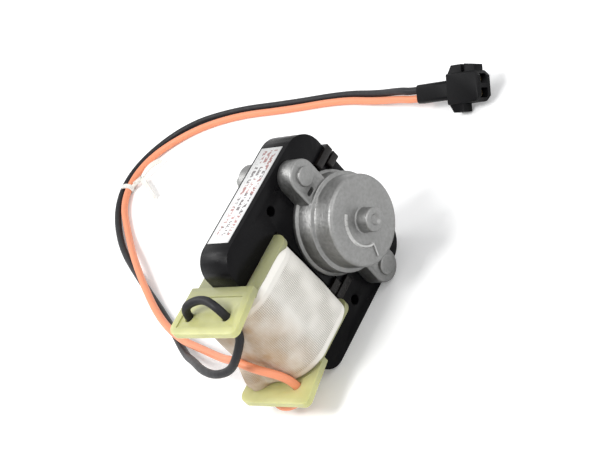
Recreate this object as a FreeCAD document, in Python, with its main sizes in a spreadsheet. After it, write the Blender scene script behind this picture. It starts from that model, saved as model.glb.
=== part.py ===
import FreeCAD, Part
import math
import os
import Sketcher
from FreeCAD import Placement, Rotation, Vector

# Shaded pole condenser fan motor, millimetres. The shaft runs along Y and its free end points to +Y.
# The open end of the laminated frame, with the coil, points to -X, and the labelled leg is on top (+Z).
# The origin is on the shaft axis where the free end leaves the rear bearing boss.

SIZES = {
    "stack_len": (12.7, "depth of the lamination stack along the shaft"),
    "core_half": (29.5, "shaft axis to the outer face of a leg"),
    "leg_wide": (12.1, "width of a leg"),
    "core_top": (17.5, "shaft axis to the rotor end of the frame, and to the window"),
    "leg_drop": (40.4, "shaft axis to the end of the legs"),
    "top_round": (9.5, "corner radius at the rotor end"),
    "foot_round": (7.5, "corner radius at the end of the legs"),
    "rotor_rad": (12.0, "rotor radius"),
    "air_gap": (0.35, "gap between rotor and stator"),
    "leg_hole_rad": (1.75, "mounting hole radius"),
    "leg_hole_low": (13.8, "mounting holes below the shaft axis"),
    "leg_hole_edge": (6.7, "mounting holes from the outer face of a leg"),
    "screw_rad": (1.9, "bracket screw radius"),
    "screw_edge": (7.0, "bracket screws from the outer face of a leg"),
    "screw_gap": (0.2, "clearance round a bracket screw"),
    "screw_grip": (5.0, "screw thread inside the front lug"),
    "screw_room": (0.6, "blind hole past the end of a screw"),
    "head_wide": (3.9, "screw head washer radius"),
    "hex_rad": (3.5, "screw head hexagon, axis to corner"),
    "head_high": (3.0, "screw head height"),
    "head_flange": (0.8, "thickness of the washer under the screw head"),
    "ring_thick": (1.3, "shading ring bar thickness"),
    "ring_wide": (2.6, "shading ring bar width"),
    "ring_side": (0.3, "gap between the outer shading ring and the line of the leg's inner face"),
    "ring_pitch": (3.4, "distance between the two shading rings of a pole"),
    "ring_foot": (0.3, "gap between a shading ring and the bracket's foot flange"),
    "ring_gap": (0.1, "clearance of a shading ring in its slot"),
    "slit_half": (0.4, "half width of the slit from the bore to a shading slot"),
    "slit_share": (0.6, "start of the slit, as a share of the slot's distance"),
    "base_rad": (17.2, "bracket foot flange radius"),
    "base_high": (1.1, "bracket foot flange height"),
    "base_slope": (0.6, "rise of the slope from the foot flange to the drum"),
    "drum_rad": (16.3, "lower drum radius"),
    "drum_high": (7.1, "top of the lower drum"),
    "step_rad": (15.0, "groove radius between the drums"),
    "step_low": (0.4, "groove between the drums, start above the lower drum"),
    "step_high": (0.9, "groove between the drums, end above the lower drum"),
    "dome_rad": (14.9, "upper drum radius"),
    "dome_high": (14.7, "height of the front cap"),
    "dome_round": (1.3, "edge radius of the cap"),
    "nub_rad": (4.0, "front nub radius"),
    "nub_high": (5.0, "front nub height"),
    "nub_round": (0.7, "edge radius of the nub and of the rear boss"),
    "nub_root": (0.6, "fillet radius at the foot of the nub"),
    "dimple_rad": (2.1, "dimple radius in the nub"),
    "dimple_floor": (1.3, "radius of the dimple's floor"),
    "dimple_deep": (0.7, "dimple depth in the nub"),
    "lug_rad": (5.7, "bracket lug radius"),
    "lug_high": (6.3, "bracket lug height"),
    "lug_round": (0.8, "edge radius of a lug"),
    "bump_rad": (3.3, "raised round on a front lug"),
    "bump_high": (1.2, "height of the raised round"),
    "bump_round": (0.5, "edge radius of the raised round"),
    "pit_long": (3.4, "length of the core pit beside a lug"),
    "pit_wide": (1.5, "width of the core pit"),
    "pit_deep": (2.4, "depth of the core pit"),
    "pit_side": (2.1, "core pit's middle, past the line of the screws"),
    "pit_inset": (4.9, "core pit's middle from the screw, towards the shaft"),
    "cavity_rad": (13.3, "inside radius of the brackets"),
    "cavity_high": (11.6, "inside height of the brackets"),
    "boss_rad": (8.7, "bearing boss radius inside the brackets"),
    "boss_start": (5.3, "start of the bearing boss above the stack"),
    "wick_rad": (7.3, "radius of the oil wick pocket"),
    "wick_end": (10.4, "end of the oil wick pocket"),
    "bearing_ball": (5.2, "spherical radius of a bearing"),
    "bearing_mid": (8.6, "bearing centre above the stack"),
    "bearing_half": (3.2, "half length of a bearing"),
    "seat_gap": (0.1, "clearance round the bearing, wick and washers"),
    "rear_cap": (13.4, "height of the rear cap"),
    "rear_boss_rad": (6.2, "rear bearing boss radius"),
    "rear_boss_high": (1.6, "rear bearing boss height over the cap"),
    "shaft_stand": (1.3, "rear boss face to the start of the shaft's free length"),
    "shaft_rad": (2.38, "shaft radius"),
    "shaft_free": (22.0, "free length of the shaft"),
    "shaft_front": (16.4, "shaft end above the front face of the stack"),
    "shaft_tip": (0.5, "shaft end chamfer"),
    "groove_start": (0.4, "turned groove in the shaft, past the rear boss"),
    "groove_wide": (0.8, "width of the groove in the shaft"),
    "groove_deep": (0.25, "depth of the groove in the shaft"),
    "shaft_run": (0.04, "running clearance of the shaft in its bearings"),
    "shaft_way": (0.5, "clearance of the shaft in the brackets"),
    "shaft_room": (0.8, "room past the front end of the shaft"),
    "press_gap": (0.01, "clearance of the rotor on its shaft"),
    "bar_count": (13, "rotor bars"),
    "bar_wide": (1.5, "rotor bar width"),
    "bar_deep": (2.4, "rotor bar depth"),
    "bar_in": (0.5, "rotor bar below the rotor surface"),
    "cage_high": (2.4, "height of a rotor end ring"),
    "cage_in": (7.2, "inside radius of a rotor end ring"),
    "spacer_rad": (3.9, "radius of the rotor spacers"),
    "washer_thick": (0.8, "thickness of a thrust washer"),
    "washer_rad": (3.8, "radius of a thrust washer"),
    "retainer_thick": (0.6, "thickness of a bearing retainer"),
    "retainer_in": (4.98, "inside radius of a bearing retainer"),
    "retainer_start": (6.3, "bearing retainer above the stack"),
    "bar_gap": (0.1, "clearance of the core bar in the bobbin"),
    "tube_wall": (1.2, "wall of the bobbin tube"),
    "flange_thick": (1.9, "bobbin flange thickness"),
    "flange_fore": (6.4, "bobbin flange past the front of the stack"),
    "flange_aft": (9.8, "bobbin flange and tab past the rear of the stack"),
    "flange_top": (18.9, "shaft axis to the near end of the bobbin flanges"),
    "flange_round": (4.5, "corner radius of the bobbin flanges"),
    "tab_thick": (2.2, "thickness of a bobbin tab"),
    "tab_rise": (1.9, "outer face of a tab above the inner face of the leg"),
    "tab_fore": (9.4, "front corner of a tab past the front of the stack"),
    "tab_root": (2.4, "length of the step that joins a tab to its flange"),
    "tab_end": (58.4, "shaft axis to the end of the bobbin tabs"),
    "tab_gap": (0.1, "gap between a tab and the leg above it"),
    "tab_cut": (4.0, "corner cut at the rear of a tab"),
    "tab_round": (2.0, "corner radius at the front of a tab"),
    "tab_lip": (3.6, "height of the lip at the head of a tab"),
    "tab_sink": (0.5, "depth of the tab's face under its lip"),
    "tab_rim": (2.6, "rim left round the sunken face of a tab"),
    "lead_hole_far": (51.8, "lead holes from the shaft axis"),
    "lead_hole_fore": (1.0, "front lead hole in front of the stack's front face"),
    "lead_hole_aft": (16.4, "rear lead hole behind the stack's front face"),
    "lead_rad": (1.4, "radius of a lead"),
    "lead_gap": (0.2, "clearance of a lead in its hole"),
    "wind_top": (19.8, "shaft axis to the near side of the winding"),
    "wind_low": (52.0, "shaft axis to the far side of the winding"),
    "wind_over": (8.5, "winding past the stack, front and rear"),
    "wind_round_top": (7.5, "corner radius of the winding, near side"),
    "wind_round_low": (13.0, "corner radius of the winding, far side"),
    "tape_thick": (0.6, "thickness of the tape over the winding"),
    "wind_gap": (0.1, "gap between the winding and the flanges"),
    "label_top": (7.3, "label end past the shaft axis"),
    "label_low": (31.4, "label end below the shaft axis"),
    "label_edge": (2.1, "label edge from the front face of the stack"),
    "label_wide": (9.7, "label width"),
    "label_thick": (0.15, "label thickness"),
    "cut_past": (0.5, "how far a through cut runs past a face"),
    "plug_mid": (78.3, "connector's middle line from the shaft axis"),
    "plug_roll": (42.0, "degrees that the connector lies rolled over"),
    "plug_start": (-24.5, "connector housing's lead end along the shaft"),
    "plug_long": (14.5, "connector housing length"),
    "plug_wide": (11.0, "connector housing width"),
    "plug_high": (6.4, "connector housing height"),
    "plug_cut": (2.0, "corner cut at the mating end of the connector"),
    "plug_round": (0.8, "edge radius of the connector housing"),
    "wing_out": (2.8, "reach of a latch wing"),
    "wing_long": (6.4, "length of a latch wing"),
    "wing_slope": (1.8, "length of the slope at the start of a latch wing"),
    "wing_inset": (0.6, "root of a latch wing inside the housing"),
    "latch_gap": (1.6, "gap between a latch wing and the latch bar behind it"),
    "latch_drop": (0.7, "how much lower the latch bar is at its far end"),
    "wing_high": (4.4, "height of a latch wing"),
    "way_pitch": (5.0, "distance between the two terminal ways"),
    "way_wide": (3.4, "width of a terminal way"),
    "way_deep": (11.0, "depth of a terminal way"),
    "pin_rad": (1.2, "terminal radius"),
    "pin_long": (9.0, "terminal length"),
    "boot_long": (15.0, "connector sleeve length"),
    "boot_wide": (6.8, "connector sleeve width"),
    "boot_high": (5.0, "connector sleeve height"),
    "boot_round": (1.4, "edge radius of the connector sleeve"),
    "lead_bite": (3.0, "length of a lead inside the sleeve"),
    "lead_pitch": (3.0, "distance between the two leads in the sleeve"),
    "tie_place": (56.5, "middle of the cable tie from the shaft axis"),
    "tie_low": (145.2, "near side of the tie's loop, along the shaft"),
    "tie_high": (151.4, "far side of the tie's loop, along the shaft"),
    "tie_open": (2.8, "height of the tie's loop"),
    "tie_thick": (0.9, "thickness of the tie's band"),
    "tie_wide": (2.6, "width of the tie's band"),
    "tie_round": (1.3, "corner radius of the tie's loop"),
    "tie_head_long": (4.6, "length of the tie's head"),
    "tie_head_wide": (4.8, "width of the tie's head"),
    "tie_head_high": (4.2, "height of the tie's head"),
    "tie_tail_long": (12.0, "length of the tie's cut tail"),
    "tie_tail_thick": (1.1, "thickness of the tie's tail"),
    "tie_tail_rise": (1.4, "underside of the tail above the surface the motor rests on"),
}

# Straight run ends of the two leads, chosen by hand, from the coil to the connector.
BLACK_ROUTE = [
    (-45.5, -12.6, 11.8), (-51.8, -12.6, 11.6), (-51.6, -12.6, 23.4), (-48.4, -21.4, 24.4),
    (-51.6, -30.0, 23.2), (-51.9, -30.2, 11.5), (-57.0, -26.0, 4.5), (-57.5, -16.0, -4.0),
    (-49.5, -2.0, -12.0), (-46.0, 19.0, -20.0), (-34.0, 46.0, -26.0), (-17.0, 70.0, -28.1),
    (2.5, 101.0, -28.1), (22.0, 130.0, -28.1), (46.0, 149.5, -27.2), (67.0, 150.5, -27.2),
    (86.5, 134.0, -28.1), (91.5, 105.5, -28.1), (90.5, 72.0, -28.1), (91.0, 41.0, -28.1),
    (86.0, 19.5, -26.0), (80.9, 1.0, -21.6), (79.4, -4.5, -21.3), (79.4, -12.5, -21.3),
]
ORANGE_ROUTE = [
    (-45.5, -12.6, -11.8), (-51.8, -12.6, -11.6), (-51.8, -12.6, -23.2), (-56.6, -21.4, -23.8),
    (-51.8, -30.0, -23.2), (-51.9, -30.2, -12.5), (-55.0, -24.5, -4.0), (-52.0, -13.0, -3.5),
    (-46.0, 3.5, -11.0), (-37.0, 27.0, -18.3), (-29.5, 49.0, -22.6), (-18.0, 71.5, -25.0),
    (-3.5, 91.0, -25.0), (11.0, 108.5, -24.9), (26.0, 127.0, -28.1), (46.0, 146.0, -27.2),
    (67.0, 147.2, -27.2), (82.5, 129.0, -28.1), (88.0, 103.0, -28.1), (87.0, 72.0, -28.1),
    (87.8, 41.0, -28.1), (83.0, 19.6, -26.7), (78.9, 1.5, -23.8), (77.2, -4.5, -23.3),
    (77.2, -12.5, -23.3),
]
ARC_SHARE = 0.45
VOLUME_SHARE = 0.01

class Size:
    """A number that remembers the sheet formula it comes from."""

    def __init__(self, value, text):
        self.value = value
        self.text = text

    def join(self, other, value, sign):
        return Size(value, f"({self.text} {sign} {as_size(other).text})")

    def __add__(self, other):
        return self.join(other, self.value + as_size(other).value, "+")

    def __sub__(self, other):
        return self.join(other, self.value - as_size(other).value, "-")

    def __mul__(self, other):
        return self.join(other, self.value * as_size(other).value, "*")

    def __truediv__(self, other):
        return self.join(other, self.value / as_size(other).value, "/")

    def __neg__(self):
        return Size(-self.value, f"(0 - {self.text})")

    def root(self):
        return Size(math.sqrt(self.value), f"sqrt({self.text})")

    def sine(self):
        """Sine of a size in degrees."""
        return Size(math.sin(math.radians(self.value)), f"sin({self.text} * 1deg)")

    def cosine(self):
        """Cosine of a size in degrees."""
        return Size(math.cos(math.radians(self.value)), f"cos({self.text} * 1deg)")


def as_size(number):
    return number if isinstance(number, Size) else Size(float(number), repr(float(number)))


class Sheet:
    """The spreadsheet of driving sizes, read by name."""

    def __init__(self, doc):
        sheet = doc.addObject("Spreadsheet::Sheet", "Sizes")
        for row, (name, (value, meaning)) in enumerate(SIZES.items(), start=1):
            sheet.set(f"A{row}", meaning)
            sheet.set(f"B{row}", str(value))
            sheet.setAlias(f"B{row}", name)
        doc.recompute()
        self.sheet = sheet

    def __getattr__(self, name):
        return Size(float(getattr(self.sheet, name)), f"Sizes.{name}")


doc = FreeCAD.newDocument("condenser_fan_motor")
size = Sheet(doc)
pieces = []


# Places along the shaft.
rear_high = size.rear_cap + size.rear_boss_high
back_face = -(rear_high + size.shaft_stand)
front_face = back_face - size.stack_len
mid_depth = front_face + size.stack_len / 2
leg_inner = size.core_half - size.leg_wide
screw_half = size.core_half - size.screw_edge
leg_hole_half = size.core_half - size.leg_hole_edge
bore_rad = size.rotor_rad + size.air_gap
floor_level = -size.core_half
plug_level = (floor_level + (size.plug_wide / 2 + size.wing_out) * size.plug_roll.sine()
              + size.wing_high / 2 * size.plug_roll.cosine())


def front(height):
    """Y of a point that lies so far in front of the stack."""
    return front_face - height


def rear(height):
    """Y of a point that lies so far behind the stack."""
    return back_face + height


def bind(thing, where, formula):
    thing.setExpression(where, as_size(formula).text)


def keep(thing, label):
    """Marks a finished piece and gives it the name of its file."""
    thing.Label = label
    pieces.append(thing)
    return thing


def new_body(name):
    return doc.addObject("PartDesign::Body", name)


def origin_part(body, role):
    return next(part for part in body.Origin.OriginFeatures if part.Role == role)


def sketch_on(body, role, level=0):
    """An empty sketch on an origin plane of the body, raised by level along the plane's normal."""
    sketch = body.newObject("Sketcher::SketchObject", body.Name + "_sketch")
    sketch.AttachmentSupport = [(origin_part(body, role), "")]
    sketch.MapMode = "FlatFace"
    bind(sketch, "AttachmentOffset.Base.z", level)
    return sketch


def fix_point(sketch, line, end, place):
    """Ties a point to its two sizes. A zero size ties it to the axis."""
    for kind, formula in (("DistanceX", place[0]), ("DistanceY", place[1])):
        formula = as_size(formula)
        item = sketch.addConstraint(Sketcher.Constraint(kind, -1, 1, line, end, formula.value))
        bind(sketch, f"Constraints[{item}]", formula)


def outline(sketch, corners):
    """A closed outline of straight lines through the corners."""
    first = sketch.GeometryCount
    spots = [Vector(as_size(x).value, as_size(y).value, 0) for x, y in corners]
    for here, there in zip(spots, spots[1:] + spots[:1]):
        sketch.addGeometry(Part.LineSegment(here, there), False)
    count = len(corners)
    for step in range(count):
        follower = first + (step + 1) % count
        sketch.addConstraint(Sketcher.Constraint("Coincident", first + step, 2, follower, 1))
    for step, place in enumerate(corners):
        fix_point(sketch, first + step, 1, place)


def box_outline(sketch, low, high):
    outline(sketch, [low, (high[0], low[1]), high, (low[0], high[1])])


def circle(sketch, centre, radius):
    spot = Vector(as_size(centre[0]).value, as_size(centre[1]).value, 0)
    radius = as_size(radius)
    line = sketch.addGeometry(Part.Circle(spot, Vector(0, 0, 1), radius.value), False)
    fix_point(sketch, line, 3, centre)
    item = sketch.addConstraint(Sketcher.Constraint("Radius", line, radius.value))
    bind(sketch, f"Constraints[{item}]", radius)


def pad(body, sketch, length, both_ways=False):
    feature = body.newObject("PartDesign::Pad", body.Name + "_pad")
    feature.Profile = sketch
    bind(feature, "Length", length)
    feature.Midplane = both_ways
    sketch.Visibility = False
    doc.recompute()
    return feature


def pocket(body, sketch, length, flipped=False, both_ways=False):
    """Cuts the sketch into the body and makes sure that it took something away."""
    before = body.Shape.Volume
    feature = body.newObject("PartDesign::Pocket", body.Name + "_pocket")
    feature.Profile = sketch
    bind(feature, "Length", length)
    feature.Reversed = flipped
    feature.Midplane = both_ways
    sketch.Visibility = False
    doc.recompute()
    if body.Shape.Volume > before - 1e-3:
        raise RuntimeError(f"{feature.Name} cuts nothing")
    return feature


def spin(body, sketch, kind="PartDesign::Revolution"):
    """A full turn of the sketch round the shaft axis."""
    feature = body.newObject(kind, body.Name + "_turn")
    feature.Profile = sketch
    feature.ReferenceAxis = (sketch, ["V_Axis"])
    feature.Angle = 360
    sketch.Visibility = False
    doc.recompute()
    return feature


def turned(name, corners):
    """A body turned round the shaft axis from (radius, Y) corners."""
    body = new_body(name)
    sketch = sketch_on(body, "XY_Plane")
    outline(sketch, corners)
    spin(body, sketch)
    return body


def round_off(body, wanted, radius):
    """Fillets the edges of the body's tip that the test picks."""
    tip = body.Tip
    names = [f"Edge{n}" for n, edge in enumerate(tip.Shape.Edges, start=1) if wanted(edge)]
    if not names:
        raise RuntimeError(f"{body.Name} has no edge to round")
    feature = body.newObject("PartDesign::Fillet", body.Name + "_fillet")
    feature.Base = (tip, names)
    bind(feature, "Radius", radius)
    doc.recompute()
    return feature


def near(here, there):
    return abs(here - as_size(there).value) < 1e-4


def ring_edge(radius, level):
    """Picks a full circle round the shaft axis, of that radius at that Y."""

    def wanted(edge):
        curve = edge.Curve
        if not isinstance(curve, Part.Circle) or not near(curve.Radius, radius):
            return False
        centre = curve.Center
        return near(centre.x, 0) and near(centre.z, 0) and near(centre.y, level)

    return wanted


def corner_along(axis, spots):
    """Picks straight edges that run along an axis through one of the spots on the other two axes."""
    others = [k for k in range(3) if k != axis]

    def wanted(edge):
        if not isinstance(edge.Curve, Part.Line):
            return False
        ends = [vertex.Point for vertex in edge.Vertexes]
        if any(abs(ends[0][k] - ends[1][k]) > 1e-4 for k in others):
            return False
        return any(all(near(ends[0][k], at) for k, at in zip(others, spot)) for spot in spots)

    return wanted


def turned_about(body, feature, copies):
    """Repeats a feature round the shaft axis."""
    pattern = body.newObject("PartDesign::PolarPattern", body.Name + "_round")
    pattern.Originals = [feature]
    pattern.Axis = (origin_part(body, "Y_Axis"), [""])
    pattern.Angle = 360
    if isinstance(copies, Size):
        bind(pattern, "Occurrences", copies)
    else:
        pattern.Occurrences = copies
    body.Tip = pattern
    doc.recompute()
    return pattern


def tube_along_shaft(name, inner, outer, low, high):
    """A plain ring or sleeve round the shaft, from low to high along Y."""
    return keep(turned(name, [(inner, low), (outer, low), (outer, high), (inner, high)]), name)


def upright(level):
    """Sketch height on the XZ plane, whose normal points to -Y."""
    return -as_size(level)


# The frame.

def make_core():
    """The pressed lamination stack: two legs, the rotor end with its bore, holes and shading slots."""
    body = new_body("core_stack")
    sketch = sketch_on(body, "XZ_Plane", upright(back_face))
    half = size.core_half
    outline(sketch, [
        (size.core_top, -half), (size.core_top, half), (-size.leg_drop, half), (-size.leg_drop, leg_inner),
        (-size.core_top, leg_inner), (-size.core_top, -leg_inner), (-size.leg_drop, -leg_inner),
        (-size.leg_drop, -half),
    ])
    pad(body, sketch, size.stack_len)
    tops = [(size.core_top, half), (size.core_top, -half)]
    feet = [(-size.leg_drop, half), (-size.leg_drop, -half)]
    round_off(body, corner_along(1, tops), size.top_round)
    round_off(body, corner_along(1, feet), size.foot_round)

    holes = sketch_on(body, "XZ_Plane", upright(back_face))
    circle(holes, (0, 0), bore_rad)
    for side in (1, -1):
        circle(holes, (0, screw_half * side), size.screw_rad + size.screw_gap)
        circle(holes, (-size.leg_hole_low, leg_hole_half * side), size.leg_hole_rad)
    pocket(body, holes, size.stack_len, flipped=True)

    for inside, middle in shading_places():
        slot = sketch_on(body, "XZ_Plane", upright(back_face))
        box_outline(slot, (inside - size.ring_gap, middle - size.ring_wide / 2 - size.ring_gap),
                    (inside + size.ring_thick + size.ring_gap, middle + size.ring_wide / 2 + size.ring_gap))
        turned_about(body, pocket(body, slot, size.stack_len, flipped=True), 2)
        slit = sketch_on(body, "XZ_Plane", upright(back_face))
        share = size.slit_share
        outline(slit, [
            (inside * share, middle * share - size.slit_half),
            (inside + size.ring_thick / 2, middle - size.slit_half),
            (inside + size.ring_thick / 2, middle + size.slit_half),
            (inside * share, middle * share + size.slit_half),
        ])
        turned_about(body, pocket(body, slit, size.stack_len, flipped=True), 2)
    return keep(body, "core_stack")


def make_core_bar():
    """The straight stack that closes the legs through the coil."""
    body = new_body("core_bar")
    sketch = sketch_on(body, "XY_Plane")
    box_outline(sketch, (-size.leg_drop, front_face), (size.leg_wide - size.leg_drop, back_face))
    pad(body, sketch, leg_inner * 2, both_ways=True)
    return keep(body, "core_bar")


def shading_places():
    """Near end along X and middle along Z of the upper pole's two rings, clear of the bracket's foot."""
    clear = size.base_rad + size.ring_foot
    outer = leg_inner - size.ring_side - size.ring_wide / 2
    places = []
    for middle in (outer - size.ring_pitch, outer):
        side = middle - size.ring_wide / 2
        places.append(((clear * clear - side * side).root(), middle))
    return places


def make_shading_rings():
    """Four closed copper loops. The lower pair is the upper pair turned half round."""
    names = iter(["shading_ring_1", "shading_ring_2", "shading_ring_3", "shading_ring_4"])
    for side in (1, -1):
        for inside, middle in shading_places():
            name = next(names)
            body = new_body(name)
            outside = size.core_top + size.ring_thick
            sketch = sketch_on(body, "XY_Plane", middle * side)
            ends = sorted([inside * side, outside * side], key=lambda end: end.value)
            wall = size.ring_thick
            box_outline(sketch, (ends[0], front(wall)), (ends[1], rear(wall)))
            box_outline(sketch, (ends[0] + wall, front_face), (ends[1] - wall, back_face))
            pad(body, sketch, size.ring_wide, both_ways=True)
            corners = [(x, y) for x in ends for y in (front(wall), rear(wall))]
            round_off(body, corner_along(2, corners), wall / 2)
            keep(body, name)


# The brackets and what they hold.

def add_lugs(body, start):
    """Pads the arm and the round lugs towards -Y from a level."""
    arm = sketch_on(body, "XZ_Plane", upright(start))
    box_outline(arm, (-size.lug_rad, -screw_half), (size.lug_rad, screw_half))
    pad(body, arm, size.lug_high)
    ends = sketch_on(body, "XZ_Plane", upright(start))
    for side in (1, -1):
        circle(ends, (0, screw_half * side), size.lug_rad)
    pad(body, ends, size.lug_high)


def add_pits(body):
    """Sinks a rounded core pit into the arm beside each front lug."""
    sketch = sketch_on(body, "XZ_Plane", upright(front(size.lug_high)))
    ends = [-size.pit_side - size.pit_long / 2, -size.pit_side + size.pit_long / 2]
    levels = []
    for side in (1, -1):
        low = (screw_half - size.pit_inset) * side - size.pit_wide / 2
        high = low + size.pit_wide
        box_outline(sketch, (ends[0], low), (ends[1], high))
        levels += [low, high]
    pocket(body, sketch, size.pit_deep)
    spots = [(x, z) for x in ends for z in levels]
    round_off(body, corner_along(1, spots), size.pit_wide / 2 - size.seat_gap)


def bearing_hollow(body, place, shaft_end):
    """Turns out the rotor cavity, the wick pocket, the bearing seat and the way for the shaft."""
    sketch = sketch_on(body, "XY_Plane")
    seat = size.bearing_ball + size.seat_gap
    floor = size.bearing_mid + size.bearing_half
    way = size.shaft_rad + size.shaft_way
    outline(sketch, [
        (0, place(0)), (size.cavity_rad, place(0)), (size.cavity_rad, place(size.cavity_high)),
        (size.boss_rad, place(size.cavity_high)), (size.boss_rad, place(size.boss_start)),
        (size.wick_rad, place(size.boss_start)), (size.wick_rad, place(size.wick_end)),
        (seat, place(size.wick_end)), (seat, place(floor)),
        (way, place(floor)), (way, shaft_end), (0, shaft_end),
    ])
    before = body.Shape.Volume
    spin(body, sketch, "PartDesign::Groove")
    if body.Shape.Volume > before - 1:
        raise RuntimeError(f"{body.Name} has no hollow")


def make_front_bracket():
    """The die-cast dome over the front face, with two lugs that take the screws blind."""
    tip = size.dome_high + size.nub_high
    body = turned("front_bracket", [
        (0, front(0)), (size.base_rad, front(0)), (size.base_rad, front(size.base_high)),
        (size.drum_rad, front(size.base_high + size.base_slope)), (size.drum_rad, front(size.drum_high)),
        (size.step_rad, front(size.drum_high + size.step_low)),
        (size.dome_rad, front(size.drum_high + size.step_high)),
        (size.dome_rad, front(size.dome_high)), (size.nub_rad, front(size.dome_high)),
        (size.nub_rad, front(tip)), (size.dimple_rad, front(tip)),
        (size.dimple_floor, front(tip - size.dimple_deep)), (0, front(tip - size.dimple_deep)),
    ])
    round_off(body, ring_edge(size.dome_rad, front(size.dome_high)), size.dome_round)
    round_off(body, ring_edge(size.nub_rad, front(tip)), size.nub_round)
    round_off(body, ring_edge(size.nub_rad, front(size.dome_high)), size.nub_root)
    add_lugs(body, front(0))
    round_off(body, lug_rim(front(size.lug_high), screw_half, size.lug_rad), size.lug_round)
    bumps = sketch_on(body, "XZ_Plane", upright(front(size.lug_high)))
    for side in (1, -1):
        circle(bumps, (0, screw_half * side), size.bump_rad)
    pad(body, bumps, size.bump_high)
    bump_top = front(size.lug_high + size.bump_high)
    round_off(body, lug_rim(bump_top, screw_half, size.bump_rad), size.bump_round)
    add_pits(body)
    bearing_hollow(body, front, front(size.shaft_front + size.shaft_room))
    screws = sketch_on(body, "XZ_Plane", upright(front(0)))
    for side in (1, -1):
        circle(screws, (0, screw_half * side), size.screw_rad + size.press_gap)
    pocket(body, screws, size.screw_grip + size.screw_room, flipped=True)
    return keep(body, "front_bracket")


def lug_rim(level, reach, radius):
    """Picks the round rims of the lugs at one height."""

    def wanted(edge):
        curve = edge.Curve
        if not isinstance(curve, Part.Circle) or not near(curve.Radius, radius):
            return False
        centre = curve.Center
        return near(abs(centre.z), reach) and near(centre.x, 0) and near(centre.y, level)

    return wanted


def make_rear_bracket():
    """The rear dome, with a bearing boss that the shaft leaves through and two clearance holes."""
    body = turned("rear_bracket", [
        (0, rear(0)), (size.base_rad, rear(0)), (size.base_rad, rear(size.base_high)),
        (size.drum_rad, rear(size.base_high + size.base_slope)), (size.drum_rad, rear(size.drum_high)),
        (size.step_rad, rear(size.drum_high + size.step_low)),
        (size.dome_rad, rear(size.drum_high + size.step_high)),
        (size.dome_rad, rear(size.rear_cap)), (size.rear_boss_rad, rear(size.rear_cap)),
        (size.rear_boss_rad, rear(rear_high)), (0, rear(rear_high)),
    ])
    round_off(body, ring_edge(size.dome_rad, rear(size.rear_cap)), size.dome_round)
    round_off(body, ring_edge(size.rear_boss_rad, rear(rear_high)), size.nub_round)
    add_lugs(body, rear(size.lug_high))
    round_off(body, lug_rim(rear(size.lug_high), screw_half, size.lug_rad), size.lug_round)
    bearing_hollow(body, rear, rear(rear_high))
    screws = sketch_on(body, "XZ_Plane", upright(rear(0)))
    for side in (1, -1):
        circle(screws, (0, screw_half * side), size.screw_rad + size.screw_gap)
    pocket(body, screws, size.lug_high)
    return keep(body, "rear_bracket")


def primitive(kind, name, **sizes):
    thing = doc.addObject(kind, name)
    for prop, formula in sizes.items():
        bind(thing, prop, formula)
    return thing


ALONG_SHAFT = Rotation(Vector(1, 0, 0), -90)


def stand(thing, x, y, z, turn=ALONG_SHAFT):
    """Puts a primitive at a place, with its height along the shaft."""
    thing.Placement = Placement(Vector(0, 0, 0), turn)
    for axis, formula in (("x", x), ("y", y), ("z", z)):
        bind(thing, f"Placement.Base.{axis}", formula)
    return thing


def make_bearing(name, place):
    """A sintered bush with a spherical outside, cut flat at both ends and bored for the shaft."""
    ball = primitive("Part::Sphere", name + "_ball", Radius=size.bearing_ball)
    stand(ball, 0, place(size.bearing_mid), 0)
    low = place(size.bearing_mid) - size.bearing_half
    length = size.bearing_half * 2
    body = primitive("Part::Cylinder", name + "_length", Radius=size.bearing_ball, Height=length)
    stand(body, 0, low, 0)
    bore = stand(primitive("Part::Cylinder", name + "_bore", Radius=size.shaft_rad + size.shaft_run,
                           Height=length), 0, low, 0)
    middle = doc.addObject("Part::Common", name + "_middle")
    middle.Base = ball
    middle.Tool = body
    return keep(cut(name, middle, bore), name)


def cut(name, base, tool):
    result = doc.addObject("Part::Cut", name)
    result.Base = base
    result.Tool = tool
    doc.recompute()
    return result


def make_bearings():
    for end, place in (("front", front), ("rear", rear)):
        make_bearing(end + "_bearing", place)
        tube_along_shaft(end + "_oil_wick", size.bearing_ball + size.seat_gap, size.wick_rad - size.seat_gap,
                         place(size.retainer_start + size.retainer_thick + size.seat_gap),
                         place(size.wick_end - size.seat_gap))
        tube_along_shaft(end + "_bearing_retainer", size.retainer_in, size.wick_rad - size.seat_gap / 2,
                         place(size.retainer_start), place(size.retainer_start + size.retainer_thick))


def make_screws():
    """Two long screws with a hexagon washer head behind the rear lugs."""
    for number, side in ((1, 1), (2, -1)):
        name = f"bracket_screw_{number}"
        height = screw_half * side
        long = size.screw_grip + size.stack_len + size.lug_high
        shank = stand(primitive("Part::Cylinder", name + "_shank", Radius=size.screw_rad, Height=long),
                      0, front(size.screw_grip), height)
        washer = stand(primitive("Part::Cylinder", name + "_washer", Radius=size.head_wide,
                                 Height=size.head_flange), 0, rear(size.lug_high), height)
        head = stand(primitive("Part::Prism", name + "_hexagon", Circumradius=size.hex_rad,
                               Height=size.head_high), 0, rear(size.lug_high), height)
        whole = doc.addObject("Part::MultiFuse", name)
        whole.Shapes = [shank, washer, head]
        doc.recompute()
        keep(whole, name)


# The rotor.

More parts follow.
